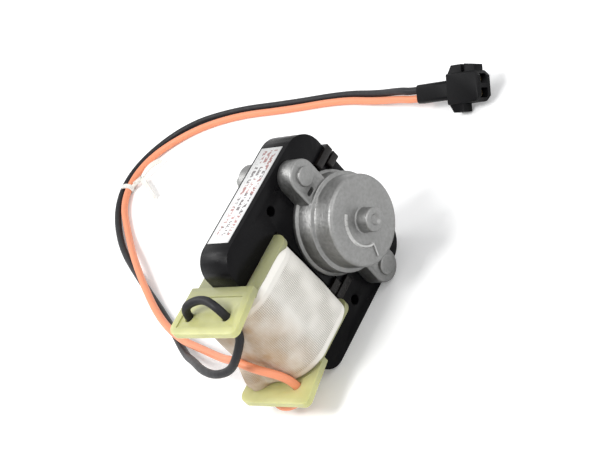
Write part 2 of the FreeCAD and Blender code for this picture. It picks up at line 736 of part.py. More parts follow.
def make_rotor():
    bore = size.shaft_rad + size.press_gap
    tip = size.shaft_tip
    groove = rear(rear_high) + size.groove_start
    groove_end = groove + size.groove_wide
    keep(turned("shaft", [
        (0, front(size.shaft_front)), (size.shaft_rad - tip, front(size.shaft_front)),
        (size.shaft_rad, front(size.shaft_front - tip)), (size.shaft_rad, groove),
        (size.shaft_rad - size.groove_deep, groove), (size.shaft_rad - size.groove_deep, groove_end),
        (size.shaft_rad, groove_end), (size.shaft_rad, size.shaft_free - tip),
        (size.shaft_rad - tip, size.shaft_free), (0, size.shaft_free),
    ]), "shaft")

    core = turned("rotor_core", [(bore, front_face), (size.rotor_rad, front_face),
                                 (size.rotor_rad, back_face), (bore, back_face)])
    slots = sketch_on(core, "XZ_Plane", upright(back_face))
    bar_high = size.rotor_rad - size.bar_in
    box_outline(slots, (bar_high - size.bar_deep, -size.bar_wide / 2), (bar_high, size.bar_wide / 2))
    turned_about(core, pocket(core, slots, size.stack_len, flipped=True), size.bar_count)
    keep(core, "rotor_core")

    cage = new_body("rotor_cage")
    for start in (front_face, rear(size.cage_high)):
        ring = sketch_on(cage, "XZ_Plane", upright(start))
        circle(ring, (0, 0), bar_high)
        circle(ring, (0, 0), size.cage_in)
        end_ring = pad(cage, ring, size.cage_high)
        if start is front_face:
            bars = sketch_on(cage, "XZ_Plane", upright(back_face))
            box_outline(bars, (bar_high - size.bar_deep, -size.bar_wide / 2), (bar_high, size.bar_wide / 2))
            turned_about(cage, pad(cage, bars, size.stack_len), size.bar_count)
    keep(cage, "rotor_cage")

    bearing_face = size.bearing_mid - size.bearing_half
    washer_top = bearing_face - size.seat_gap
    washer_low = washer_top - size.washer_thick
    for end, place in (("front", front), ("rear", rear)):
        tube_along_shaft(end + "_rotor_spacer", bore, size.spacer_rad, place(0), place(washer_low))
        tube_along_shaft(end + "_thrust_washer", bore, size.washer_rad, place(washer_low), place(washer_top))


# The coil.

def block(name, low, high, half):
    """A block across the middle plane, from (X, Y) low to high."""
    body = new_body(name)
    sketch = sketch_on(body, "XY_Plane")
    box_outline(sketch, low, high)
    pad(body, sketch, half * 2, both_ways=True)
    return body


def wound_block(name, inset):
    """The rounded outside of the winding, smaller by inset all round."""
    low = (-size.wind_low + inset, front(size.wind_over) + inset)
    high = (-size.wind_top - inset, rear(size.wind_over) - inset)
    half = leg_inner - size.flange_thick - size.wind_gap
    body = block(name, low, high, half)
    levels = (low[1], high[1])
    round_off(body, corner_along(2, [(high[0], y) for y in levels]), size.wind_round_top - inset)
    round_off(body, corner_along(2, [(low[0], y) for y in levels]), size.wind_round_low - inset)
    return body


def make_coil():
    """The copper winding on the bobbin tube and the tape wrapped over it."""
    skin = wound_block("tape_outside", as_size(0))
    copper = wound_block("copper_outside", size.tape_thick)
    reach = size.bar_gap + size.tube_wall
    tube = block("tube_outside", (-size.leg_drop - reach, front(reach)),
                 (size.leg_wide - size.leg_drop + reach, rear(reach)), leg_inner - size.flange_thick)
    keep(cut("winding_tape", skin, copper), "winding_tape")
    keep(cut("copper_winding", copper, tube), "copper_winding")


def make_bobbin():
    """The moulded bobbin: a square tube, two flanges and the two lead tabs past the legs."""
    body = new_body("bobbin")
    reach = size.bar_gap + size.tube_wall
    inner = leg_inner - size.flange_thick
    outer = leg_inner + size.tab_rise
    fore = front(size.flange_fore)
    corner = front(size.tab_fore)
    aft = rear(size.flange_aft)
    tube = sketch_on(body, "XY_Plane")
    box_outline(tube, (-size.leg_drop - reach, front(reach)),
                (size.leg_wide - size.leg_drop + reach, rear(reach)))
    pad(body, tube, inner * 2, both_ways=True)
    tab_top = size.leg_drop + size.tab_gap
    for side in (1, -1):
        flange = sketch_on(body, "XY_Plane", inner if side > 0 else -leg_inner)
        box_outline(flange, (-tab_top - size.tab_root, fore), (-size.flange_top, aft))
        pad(body, flange, size.flange_thick)
        tab = sketch_on(body, "XY_Plane", outer - size.tab_thick if side > 0 else -outer)
        outline(tab, [(-size.tab_end, corner), (-tab_top, fore), (-tab_top, aft), (-size.tab_end, aft)])
        pad(body, tab, size.tab_thick)
    tops = [(-size.flange_top, y) for y in (fore, aft)]
    round_off(body, corner_along(2, tops), size.flange_round)
    round_off(body, corner_along(2, [(-size.tab_end, corner)]), size.tab_round)
    round_off(body, corner_along(2, [(-size.tab_end, aft)]), size.tab_cut)

    bar = sketch_on(body, "XY_Plane")
    gap = size.bar_gap
    box_outline(bar, (-size.leg_drop - gap, front(gap)),
                (size.leg_wide - size.leg_drop + gap, rear(gap)))
    pocket(body, bar, (leg_inner + size.cut_past) * 2, both_ways=True)
    holes = sketch_on(body, "XY_Plane")
    for y in (front(size.lead_hole_fore), front_face + size.lead_hole_aft):
        circle(holes, (-size.lead_hole_far, y), size.lead_rad + size.lead_gap)
    pocket(body, holes, (outer + size.cut_past) * 2, both_ways=True)
    rim = size.tab_rim
    for side in (1, -1):
        sunk = sketch_on(body, "XY_Plane", outer * side)
        outline(sunk, [
            (-size.tab_end + rim, corner + rim), (-tab_top - size.tab_lip, fore + rim),
            (-tab_top - size.tab_lip, aft - rim), (-size.tab_end + rim, aft - rim),
        ])
        pocket(body, sunk, size.tab_sink, flipped=side < 0)
    return keep(body, "bobbin")


def make_label():
    """The thin sheet on the upper leg."""
    body = new_body("label")
    sketch = sketch_on(body, "XY_Plane", size.core_half)
    box_outline(sketch, (-size.label_low, front_face + size.label_edge),
                (size.label_top, front_face + size.label_edge + size.label_wide))
    pad(body, sketch, size.label_thick)
    return keep(body, "label")


# The leads, the tie and the connector.

def lead_line(points):
    """Straight runs joined by tangent arcs, with the radius of each arc."""
    edges = []
    radii = []
    start = points[0]
    for before, corner, after in zip(points, points[1:], points[2:]):
        come = corner - before
        leave = after - corner
        half_turn = come.getAngle(leave) / 2
        trim = ARC_SHARE * min(come.Length, leave.Length)
        radius = trim / math.tan(half_turn)
        come.normalize()
        leave.normalize()
        first = corner - come * trim
        last = corner + leave * trim
        inward = (leave - come).normalize()
        middle = corner + inward * (radius / math.cos(half_turn) - radius)
        edges.append(Part.LineSegment(start, first).toShape())
        edges.append(Part.Arc(first, middle, last).toShape())
        radii.append(radius)
        start = last
    edges.append(Part.LineSegment(start, points[-1]).toShape())
    return Part.Wire(edges), radii


def make_lead(name, route):
    """A round lead along its route, with its volume tested against its length."""
    points = [Vector(*place) for place in route]
    line, radii = lead_line(points)
    path = doc.addObject("Part::Feature", name + "_path")
    path.Shape = line
    section = primitive("Part::Circle", name + "_section", Radius=size.lead_rad)
    turn = Rotation(Vector(0, 0, 1), points[1] - points[0])
    section.Placement = Placement(points[0], turn)
    lead = doc.addObject("Part::Sweep", name)
    lead.Sections = [section]
    lead.Spine = (path, [f"Edge{n}" for n in range(1, len(line.Edges) + 1)])
    lead.Solid = True
    lead.Frenet = True
    doc.recompute()
    wanted = math.pi * size.lead_rad.value ** 2 * line.Length
    if abs(lead.Shape.Volume - wanted) > wanted * VOLUME_SHARE:
        raise RuntimeError(f"{name} has volume {lead.Shape.Volume}, not {wanted}")
    print(name, "length", round(line.Length, 1), "arc radii", [round(radius, 1) for radius in radii])
    return keep(lead, name)


def make_tie():
    """The cable tie: a loop round both leads, its head and its cut tail."""
    body = new_body("cable_tie")
    inner = (size.tie_low, floor_level + size.tie_thick)
    outer = (size.tie_high, inner[1] + size.tie_open)
    wall = size.tie_thick
    low = inner[0] - wall
    top = outer[1] + wall
    band = sketch_on(body, "YZ_Plane", size.tie_place)
    box_outline(band, (low, floor_level), (outer[0] + wall, top))
    pad(body, band, size.tie_wide, both_ways=True)
    spots = [(y, z) for y in (low, outer[0] + wall) for z in (floor_level, top)]
    round_off(body, corner_along(0, spots), size.tie_round)
    loop = sketch_on(body, "YZ_Plane", size.tie_place)
    box_outline(loop, inner, outer)
    pocket(body, loop, size.tie_wide + size.cut_past, both_ways=True)
    head = sketch_on(body, "YZ_Plane", size.tie_place)
    box_outline(head, (inner[0] - size.tie_head_long, floor_level),
                (inner[0], floor_level + size.tie_head_high))
    pad(body, head, size.tie_head_wide, both_ways=True)
    tail = sketch_on(body, "YZ_Plane", size.tie_place)
    tail_low = floor_level + size.tie_tail_rise
    tail_end = inner[0] - size.tie_head_long - size.tie_tail_long
    box_outline(tail, (tail_end, tail_low), (inner[0] - size.tie_head_long, tail_low + size.tie_tail_thick))
    pad(body, tail, size.tie_wide, both_ways=True)
    return keep(body, "cable_tie")


def roll_over(body):
    """Rolls a piece made on the connector's own line, and rests the line on its lower latch wing."""
    body.Placement = Placement(Vector(0, 0, 0), Rotation(Vector(0, -1, 0), size.plug_roll.value))
    bind(body, "Placement.Base.x", size.plug_mid)
    bind(body, "Placement.Base.z", plug_level)
    return body


def way_places():
    return [size.way_pitch / 2 * side for side in (1, -1)]


def make_housing():
    """The moulded connector housing: two latch wings, a latch bar and two terminal ways."""
    body = new_body("connector_housing")
    half = size.plug_wide / 2
    low = -size.plug_high / 2
    start = size.plug_start
    end = start - size.plug_long
    cut_end = end + size.plug_cut
    sketch = sketch_on(body, "XY_Plane", low)
    outline(sketch, [
        (-half, start), (-half, cut_end), (-half + size.plug_cut, end),
        (half - size.plug_cut, end), (half, cut_end), (half, start),
    ])
    pad(body, sketch, size.plug_high)
    spots = [(x, z) for x in (-half, half) for z in (low, -low)]
    round_off(body, corner_along(1, spots), size.plug_round)
    root = half - size.wing_inset
    reach = half + size.wing_out
    tip = start - size.wing_long
    for side in (1, -1):
        wing = sketch_on(body, "XY_Plane", -size.wing_high / 2)
        outline(wing, [(root * side, start), (half * side, start),
                       (reach * side, start - size.wing_slope), (reach * side, tip), (root * side, tip)])
        pad(body, wing, size.wing_high)
    latch = sketch_on(body, "XY_Plane", -size.wing_high / 2)
    outline(latch, [(root, tip - size.latch_gap), (reach, tip - size.latch_gap),
                    (reach - size.latch_drop, cut_end), (root, cut_end)])
    pad(body, latch, size.wing_high)
    ways = sketch_on(body, "XZ_Plane", upright(end))
    reach = size.way_wide / 2
    for middle in way_places():
        box_outline(ways, (middle - reach, -reach), (middle + reach, reach))
    pocket(body, ways, size.way_deep)
    return keep(roll_over(body), "connector_housing")


def make_terminals():
    """A round terminal in each way, seated on the way's floor."""
    start = size.plug_start - size.plug_long + size.way_deep - size.pin_long
    for number, place in enumerate(way_places(), start=1):
        pin = primitive("Part::Cylinder", f"terminal_{number}", Radius=size.pin_rad, Height=size.pin_long)
        stand(pin, size.plug_mid + place * size.plug_roll.cosine(), start,
              plug_level + place * size.plug_roll.sine())
        doc.recompute()
        keep(pin, f"terminal_{number}")


def make_sleeve():
    """The sleeve on the lead end of the housing, with a blind hole for each lead."""
    body = new_body("connector_sleeve")
    half = size.boot_wide / 2
    low = -size.boot_high / 2
    start = size.plug_start + size.boot_long
    sketch = sketch_on(body, "XZ_Plane", upright(start))
    box_outline(sketch, (-half, low), (half, -low))
    pad(body, sketch, size.boot_long)
    spots = [(x, z) for x in (-half, half) for z in (low, -low)]
    round_off(body, corner_along(1, spots), size.boot_round)
    holes = sketch_on(body, "XZ_Plane", upright(start))
    for side in (1, -1):
        circle(holes, (size.lead_pitch / 2 * side, 0), size.lead_rad)
    pocket(body, holes, size.lead_bite, flipped=True)
    return keep(roll_over(body), "connector_sleeve")


make_core()
make_core_bar()
make_shading_rings()
make_front_bracket()
make_rear_bracket()
make_bearings()
make_screws()
make_rotor()
make_coil()
make_bobbin()
make_label()
make_lead("black_lead", BLACK_ROUTE)
make_lead("orange_lead", ORANGE_ROUTE)
make_tie()
make_housing()
make_terminals()
make_sleeve()


def check_document():
    doc.recompute()
    for thing in doc.Objects:
        if "Invalid" in thing.State or "Error" in thing.State:
            raise RuntimeError(f"{thing.Name} is {thing.State}")
    for piece in pieces:
        shape = piece.Shape
        if shape.isNull() or not shape.isValid():
            raise RuntimeError(f"{piece.Label} has no valid shape")


def write_pieces():
    os.makedirs("parts", exist_ok=True)
    for piece in pieces:
        piece.Shape.exportStep(f"parts/{piece.Label}.step")
        print(piece.Label, len(piece.Shape.Solids), round(piece.Shape.Volume, 1))


check_document()
write_pieces()
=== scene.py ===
import math

import bmesh
import bpy
from bpy.props import FloatProperty, FloatVectorProperty, PointerProperty, StringProperty
from mathutils import Matrix, Vector, noise


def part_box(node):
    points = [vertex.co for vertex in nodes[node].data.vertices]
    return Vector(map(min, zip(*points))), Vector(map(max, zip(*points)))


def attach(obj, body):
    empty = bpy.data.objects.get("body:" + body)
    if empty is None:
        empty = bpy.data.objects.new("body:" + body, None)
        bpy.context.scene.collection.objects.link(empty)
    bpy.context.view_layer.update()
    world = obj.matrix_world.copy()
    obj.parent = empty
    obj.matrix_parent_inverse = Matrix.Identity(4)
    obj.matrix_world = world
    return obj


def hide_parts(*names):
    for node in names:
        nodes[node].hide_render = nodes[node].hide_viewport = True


bl_info = {
    "name": "Condenser fan motor",
    "version": (1, 0, 0),
    "blender": (4, 5, 0),
    "location": "3D View > Sidebar > Motor",
    "description": "Gives a shaded pole fan motor its finishes, coil tape, leads and studio",
    "category": "Object",
}

MM = 0.001

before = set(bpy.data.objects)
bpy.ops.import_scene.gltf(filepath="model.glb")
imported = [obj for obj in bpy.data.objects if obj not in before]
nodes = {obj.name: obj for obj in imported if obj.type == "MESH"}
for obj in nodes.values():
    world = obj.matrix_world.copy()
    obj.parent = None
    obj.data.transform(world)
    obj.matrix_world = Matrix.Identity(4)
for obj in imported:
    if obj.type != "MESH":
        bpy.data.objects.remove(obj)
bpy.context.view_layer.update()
floor_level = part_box("core_stack")[0].z

# Control points of the two leads in millimetres, listed from the coil to the connector.
BLACK_ROUTE = [
    (-45.5, -12.6, 11.8), (-51.8, -12.6, 11.6), (-51.6, -12.6, 23.4), (-48.4, -21.4, 24.4),
    (-51.6, -30.0, 23.2), (-51.9, -30.2, 11.5), (-56.4, -26.5, 6.0), (-58.6, -19.5, 0.2),
    (-58.6, -9.5, -2.4), (-54.0, 4.0, -6.4), (-45.0, 22.0, -14.0), (-34.0, 46.0, -26.0),
    (-17.0, 70.0, -28.1), (2.5, 101.0, -28.1), (22.0, 130.0, -28.1), (46.0, 149.5, -27.2),
    (67.0, 150.5, -27.2), (86.5, 134.0, -28.1), (91.5, 105.5, -28.1), (90.5, 72.0, -28.1),
    (91.0, 41.0, -28.1), (86.0, 19.5, -26.0), (80.9, 1.0, -21.6), (79.4, -4.5, -21.3),
    (79.4, -12.5, -21.3),
]
ORANGE_ROUTE = [
    (-45.5, -12.6, -11.8), (-51.8, -12.6, -11.6), (-51.8, -12.6, -23.2), (-56.6, -21.4, -23.8),
    (-51.8, -30.0, -23.2), (-51.9, -30.2, -12.5), (-55.0, -24.5, -4.0), (-52.0, -13.0, -3.5),
    (-46.0, 3.5, -11.0), (-37.0, 27.0, -18.3), (-29.5, 49.0, -22.6), (-18.0, 71.5, -25.0),
    (-3.5, 91.0, -25.0), (11.0, 108.5, -24.9), (26.0, 127.0, -28.1), (46.0, 146.0, -27.2),
    (67.0, 147.2, -27.2), (82.5, 129.0, -28.1), (88.0, 103.0, -28.1), (87.0, 72.0, -28.1),
    (87.8, 41.0, -28.1), (83.0, 19.6, -26.7), (78.9, 1.5, -23.8), (77.2, -4.5, -23.3),
    (77.2, -12.5, -23.3),
]


# Sizes and colours that a user would change.

class StageSettings(bpy.types.PropertyGroup):
    camera_place: FloatVectorProperty(
        name="Camera place", description="Where the camera stands", size=3,
        default=(-0.25624, -0.41842, 0.28545), subtype="TRANSLATION", unit="LENGTH")
    camera_forward: FloatVectorProperty(
        name="Camera direction", description="Which way the camera looks", size=3,
        default=(0.4598, 0.7255, -0.5121), subtype="DIRECTION")
    camera_up: FloatVectorProperty(
        name="Camera up", description="Which way is up in the picture", size=3,
        default=(0.7791, -0.0529, 0.6246), subtype="DIRECTION")
    camera_lens: FloatProperty(
        name="Lens", description="Focal length on a 36 mm wide sensor", default=101.92, min=20)
    floor_colour: StringProperty(
        name="Floor colour", description="Colour of the table", default="#fbfbfa")
    window_power: FloatProperty(
        name="Window light", description="Power of the lamp overhead that throws the shadow", default=5.2,
        min=0, unit="POWER")
    front_power: FloatProperty(
        name="Front light", description="Power of the wide lamp at the front", default=2.6,
        min=0, unit="POWER")
    back_power: FloatProperty(
        name="Back light", description="Power of the small lamp that draws the metal's highlights",
        default=2.2, min=0, unit="POWER")
    floor_glow: FloatProperty(
        name="Floor glow", description="How much the camera sees the floor lifted towards white",
        default=0.16, min=0, max=1)
    sky_strength: FloatProperty(
        name="Room light", description="Strength of the even light of the room", default=0.54, min=0)


class CoreSettings(bpy.types.PropertyGroup):
    enamel_colour: StringProperty(
        name="Enamel colour", description="Black baked enamel on the frame", default="#050506")
    enamel_worn_colour: StringProperty(
        name="Thin enamel colour", description="Where the enamel lies thin", default="#0e0d10")
    sheet_thickness: FloatProperty(
        name="Sheet thickness", description="Thickness of one steel sheet of the stack",
        default=0.5 * MM, unit="LENGTH")
    edge_radius: FloatProperty(
        name="Edge radius", description="Enamel drawn over the pressed edges", default=0.3 * MM,
        unit="LENGTH")
    ring_edge_radius: FloatProperty(
        name="Ring edge radius", description="Rounded edge of the shading rings' bar", default=0.6 * MM,
        unit="LENGTH")


class BracketSettings(bpy.types.PropertyGroup):
    metal_colour: StringProperty(
        name="Metal colour", description="Tumbled die-cast metal", default="#a2a2a1")
    dull_colour: StringProperty(
        name="Dull metal colour", description="Oxide film in the low places", default="#7c7c7b")
    # The rubbed colour is partly wear and partly a painted highlight on the raised line.
    rubbed_and_highlight_colour: StringProperty(
        name="Rubbed metal colour", description="Raised lines rubbed bright", default="#cfcfcd")
    edge_radius: FloatProperty(
        name="Edge radius", description="Edges rubbed round by tumbling", default=0.5 * MM,
        unit="LENGTH")
    rib_radius: FloatProperty(
        name="Rib radius", description="Radius of the raised arc on the cap", default=8.3 * MM,
        unit="LENGTH")
    rib_reach: FloatProperty(
        name="Rib bar's end", description="Radius where the bar at the end of the arc stops",
        default=12.4 * MM, unit="LENGTH")
    rib_start: FloatProperty(
        name="Rib start", description="Angle where the raised arc starts", default=math.radians(117),
        subtype="ANGLE")
    rib_end: FloatProperty(
        name="Rib end", description="Angle where the raised arc ends", default=math.radians(245),
        subtype="ANGLE")
    rib_width: FloatProperty(
        name="Rib width", description="Width of the raised line", default=0.6 * MM, unit="LENGTH")
    rib_height: FloatProperty(
        name="Rib height", description="Height of the raised line", default=0.45 * MM, unit="LENGTH")


class BobbinSettings(bpy.types.PropertyGroup):
    nylon_colour: StringProperty(
        name="Nylon colour", description="Pale green moulded nylon", default="#d3d398")
    deep_colour: StringProperty(
        name="Deep nylon colour", description="Nylon where it is thick", default="#b0b072")
    # This colour is partly the black frame showing through the nylon and partly painted shade from the leg.
    backed_and_shaded_colour: StringProperty(
        name="Backed nylon colour", description="Nylon with the black frame right behind it",
        default="#8c8d6c")
    edge_radius: FloatProperty(
        name="Edge radius", description="Moulded edge radius", default=0.35 * MM, unit="LENGTH")


class CoilSettings(bpy.types.PropertyGroup):
    cloth_colour: StringProperty(
        name="Cloth colour", description="Woven glass tape", default="#e9e6df")
    thread_shadow_colour: StringProperty(
        name="Thread gap colour", description="Between the threads", default="#a8a49a")
    # This brown is partly varnish in the cloth and partly painted shade on the coil's low end.
    varnish_and_shade_colour: StringProperty(
        name="Varnish colour", description="Varnish drawn into the cloth low on the coil",
        default="#a87e48")
    thread_spacing: FloatProperty(
        name="Thread spacing", description="Distance between threads, drawn coarse enough to show",
        default=0.62 * MM, unit="LENGTH")
    wire_diameter: FloatProperty(
        name="Wire", description="Diameter of the winding wire, drawn coarse enough to show",
        default=0.3 * MM, unit="LENGTH")
    near_round: FloatProperty(
        name="Near corner", description="Corner radius by the rotor", default=7.5 * MM, unit="LENGTH")
    front_round: FloatProperty(
        name="Front corner", description="Corner radius low at the front", default=13.0 * MM,
        unit="LENGTH")
    rear_round: FloatProperty(
        name="Rear corner", description="Corner radius low at the rear", default=9.0 * MM,
        unit="LENGTH")
    folded_round: FloatProperty(
        name="Folded corner", description="Rear corner radius at the end where the orange lead goes in",
        default=3.0 * MM, unit="LENGTH")
    lead_bump: FloatProperty(
        name="Lead bump", description="How far the orange lead's end lifts the tape", default=2.6 * MM,
        unit="LENGTH")
    tape_thickness: FloatProperty(
        name="Tape thickness", description="Thickness of one layer of tape", default=0.25 * MM,
        unit="LENGTH")
    selvage: FloatProperty(
        name="Selvage", description="Smooth edge of the tape without a weave", default=1.7 * MM,
        unit="LENGTH")


class LeadSettings(bpy.types.PropertyGroup):
    black_colour: StringProperty(
        name="Black lead", description="Black insulation", default="#17161a")
    orange_colour: StringProperty(
        name="Orange lead", description="Orange insulation", default="#f59a72")
    diameter: FloatProperty(
        name="Lead diameter", description="Outside diameter of a lead", default=2.8 * MM,
        unit="LENGTH")
    black_length: FloatProperty(
        name="Black lead's length", description="From the coil to the connector", default=457.9 * MM,
        unit="LENGTH")
    orange_length: FloatProperty(
        name="Orange lead's length", description="From the coil to the connector", default=440.4 * MM,
        unit="LENGTH")


class FittingSettings(bpy.types.PropertyGroup):
    tie_colour: StringProperty(
        name="Tie colour", description="White nylon", default="#f1f1ef")
    tie_place: FloatVectorProperty(
        name="Tie place", description="Middle of the tie's loop round the two leads", size=3,
        default=(0.0524, 0.1474, -0.0274), subtype="TRANSLATION", unit="LENGTH")
    tie_knot: FloatVectorProperty(
        name="Tie knot", description="Where the tie's two ends are twisted together", size=3,
        default=(0.0570, 0.1405, -0.0266), subtype="TRANSLATION", unit="LENGTH")
    tie_short_end: FloatVectorProperty(
        name="Tie's short end", description="Tip of the tie's shorter end", size=3,
        default=(0.0663, 0.1342, -0.0266), subtype="TRANSLATION", unit="LENGTH")
    tie_long_end: FloatVectorProperty(
        name="Tie's long end", description="Tip of the tie's longer end", size=3,
        default=(0.0465, 0.1250, -0.0278), subtype="TRANSLATION", unit="LENGTH")
    tie_width: FloatProperty(
        name="Tie width", description="Width of the tie's strip", default=2.2 * MM, unit="LENGTH")
    tie_thickness: FloatProperty(
        name="Tie thickness", description="Thickness of the tie's strip", default=0.5 * MM,
        unit="LENGTH")
    connector_colour: StringProperty(
        name="Connector colour", description="Black moulded nylon", default="#060608")
    edge_radius: FloatProperty(
        name="Edge radius", description="Moulded edge radius", default=0.5 * MM, unit="LENGTH")


class LabelSettings(bpy.types.PropertyGroup):
    film_colour: StringProperty(
        name="Film colour", description="White film", default="#f2f2f1")
    ink_colour: StringProperty(
        name="Ink colour", description="Dark ink of the plain marks", default="#453438")
    red_colour: StringProperty(
        name="Red ink colour", description="Red ink of the plain marks", default="#a65a55")
    row_pitch: FloatProperty(
        name="Row pitch", description="Distance between rows of marks", default=2.4 * MM,
        unit="LENGTH")


class MotorSettings(bpy.types.PropertyGroup):
    stage: PointerProperty(type=StageSettings)
    core: PointerProperty(type=CoreSettings)
    brackets: PointerProperty(type=BracketSettings)
    bobbin: PointerProperty(type=BobbinSettings)
    coil: PointerProperty(type=CoilSettings)
    leads: PointerProperty(type=LeadSettings)
    fittings: PointerProperty(type=FittingSettings)
    label: PointerProperty(type=LabelSettings)


# Materials.

def linear(code):
    """An sRGB hex colour as linear red, green, blue and alpha."""
    parts = [int(code[k:k + 2], 16) / 255 for k in (1, 3, 5)]
    return [p / 12.92 if p <= 0.04045 else ((p + 0.055) / 1.055) ** 2.4 for p in parts] + [1.0]


def add_node(tree, kind, inputs=None, output=0, feeds=None, **settings):
    """Adds a node with its settings and links, and gives the output that the next node reads."""
    made = tree.nodes.new(kind)
    for name, value in settings.items():
        setattr(made, name, value)
    for socket, value in (inputs or {}).items():
        if isinstance(value, bpy.types.NodeSocket):
            tree.links.new(value, made.inputs[socket])
        else:
            made.inputs[socket].default_value = value
    if feeds:
        tree.links.new(made.outputs[output], feeds)
    return made.outputs[output] if made.outputs else None


def start_material(name, **shader_values):
    """A material with its shader, and the place on the object in metres."""
    material = bpy.data.materials.new(name)
    material.use_nodes = True
    tree = material.node_tree
    tree.nodes.clear()
    surface = add_node(tree, "ShaderNodeBsdfPrincipled",
                       {key.replace("_", " "): value for key, value in shader_values.items()})
    add_node(tree, "ShaderNodeOutputMaterial", {"Surface": surface})
    place = add_node(tree, "ShaderNodeTexCoord", output="Object")
    return material, tree, surface.node.inputs, place


def baked_enamel(settings):
    """Baked enamel over pressed steel sheets: deep black, a soft gloss, sheet edges just showing."""
    material, tree, shader, place = start_material(
        "baked_enamel", IOR=1.5, Specular_IOR_Level=0.12)
    thickness = add_node(tree, "ShaderNodeTexNoise", {"Vector": place, "Scale": 1 / (4 * MM), "Detail": 3.0})
    add_node(tree, "ShaderNodeMix", {
        0: thickness, 6: linear(settings.enamel_colour), 7: linear(settings.enamel_worn_colour),
    }, output=2, feeds=shader["Base Color"], data_type="RGBA")
    flow = add_node(tree, "ShaderNodeTexNoise", {"Vector": place, "Scale": 1 / (1.5 * MM), "Detail": 2.0})
    add_node(tree, "ShaderNodeMapRange", {"Value": flow, "To Min": 0.22, "To Max": 0.4},
             feeds=shader["Roughness"])
    sheets = add_node(tree, "ShaderNodeTexWave", {
        "Vector": place, "Scale": math.pi / 10 / settings.sheet_thickness,
    }, output="Fac", bands_direction="Y")
    sheet_edges = add_node(tree, "ShaderNodeBump", {"Height": sheets, "Distance": 0.015 * MM})
    skin = add_node(tree, "ShaderNodeTexNoise", {"Vector": place, "Scale": 1 / (0.7 * MM), "Detail": 2.0})
    add_node(tree, "ShaderNodeBump", {"Height": skin, "Distance": 0.02 * MM, "Normal": sheet_edges},
             feeds=shader["Normal"])
    return material


def dipped_copper():
    """Copper bar dipped in enamel: brown-black and a little glossier than the frame."""
    material, tree, shader, place = start_material("dipped_copper", IOR=1.5, Specular_IOR_Level=0.25)
    thickness = add_node(tree, "ShaderNodeTexNoise", {"Vector": place, "Scale": 1 / (1.5 * MM)})
    add_node(tree, "ShaderNodeMix", {0: thickness, 6: linear("#0d0c0d"), 7: linear("#1b1614")},
             output=2, feeds=shader["Base Color"], data_type="RGBA")
    add_node(tree, "ShaderNodeMapRange", {"Value": thickness, "To Min": 0.2, "To Max": 0.36},
             feeds=shader["Roughness"])
    return material


def tumbled_die_cast(settings):
    """Die-cast metal tumbled bright: satin, with a fine peened grain that scatters the light."""
    # The grain is drawn 0.7 mm across, coarser than the real one, so that it shows.
    material, tree, shader, place = start_material("tumbled_die_cast", Metallic=0.95)
    film = add_node(tree, "ShaderNodeTexNoise", {"Vector": place, "Scale": 1 / (1.0 * MM), "Detail": 3.0})
    grey = add_node(tree, "ShaderNodeMix", {
        0: film, 6: linear(settings.dull_colour), 7: linear(settings.metal_colour),
    }, output=2, data_type="RGBA")
    wash = add_node(tree, "ShaderNodeTexNoise", {"Vector": place, "Scale": 1 / (9 * MM), "Detail": 1.0})
    stain = add_node(tree, "ShaderNodeMapRange", {"Value": wash, "From Min": 0.45, "From Max": 0.75,
                                                  "To Max": 0.35})
    add_node(tree, "ShaderNodeMix", {0: stain, 6: grey, 7: linear(settings.dull_colour)},
             output=2, feeds=shader["Base Color"], data_type="RGBA")
    add_node(tree, "ShaderNodeMapRange", {"Value": film, "To Min": 0.36, "To Max": 0.58},
             feeds=shader["Roughness"])
    peening = add_node(tree, "ShaderNodeTexNoise", {"Vector": place, "Scale": 1 / (0.7 * MM), "Detail": 2.0})
    peened = add_node(tree, "ShaderNodeBump", {"Height": peening, "Distance": 0.07 * MM})
    dents = add_node(tree, "ShaderNodeTexNoise", {"Vector": place, "Scale": 1 / (3.5 * MM), "Detail": 1.0})
    add_node(tree, "ShaderNodeBump", {"Height": dents, "Distance": 0.11 * MM, "Normal": peened},
             feeds=shader["Normal"])
    return material


def rubbed_and_highlit_die_cast(settings):
    """The same metal where tumbling rubs a raised line: brighter and smoother than the face round it, its
    brightness partly a painted highlight.
    """
    material, tree, shader, place = start_material("rubbed_and_highlit_die_cast", Metallic=1.0)
    rub = add_node(tree, "ShaderNodeTexNoise", {"Vector": place, "Scale": 1 / (1.0 * MM), "Detail": 3.0})
    # Partly painted highlight: the raised line is coloured brighter than the metal round it.
    add_node(tree, "ShaderNodeMix", {
        0: rub, 6: linear(settings.metal_colour), 7: linear(settings.rubbed_and_highlight_colour),
    }, output=2, feeds=shader["Base Color"], data_type="RGBA")
    add_node(tree, "ShaderNodeMapRange", {"Value": rub, "To Min": 0.2, "To Max": 0.4},
             feeds=shader["Roughness"])
    return material


def zinc_plate():
    """Bright zinc plating over steel: a cool pale grey with soft crystal patches."""
    material, tree, shader, place = start_material("zinc_plate", Metallic=1.0)
    crystals = add_node(tree, "ShaderNodeTexNoise", {"Vector": place, "Scale": 1 / (2 * MM), "Detail": 2.0})
    add_node(tree, "ShaderNodeMix", {0: crystals, 6: linear("#969997"), 7: linear("#cacbc7")},
             output=2, feeds=shader["Base Color"], data_type="RGBA")
    add_node(tree, "ShaderNodeMapRange", {"Value": crystals, "To Min": 0.2, "To Max": 0.42},
             feeds=shader["Roughness"])
    return material


def sintered_bronze():
    """Bronze powder pressed and sintered: brown gold, dull, with open pores."""
    # The powder is drawn 0.5 mm across, coarser than the real one, so that it shows.
    material, tree, shader, place = start_material("sintered_bronze", Metallic=1.0, Roughness=0.52)
    powder = add_node(tree, "ShaderNodeTexNoise", {"Vector": place, "Scale": 1 / (0.5 * MM), "Detail": 3.0})
    add_node(tree, "ShaderNodeMix", {0: powder, 6: linear("#6e5330"), 7: linear("#b08c56")},
             output=2, feeds=shader["Base Color"], data_type="RGBA")
    add_node(tree, "ShaderNodeBump", {"Height": powder, "Distance": 0.04 * MM}, feeds=shader["Normal"])
    return material


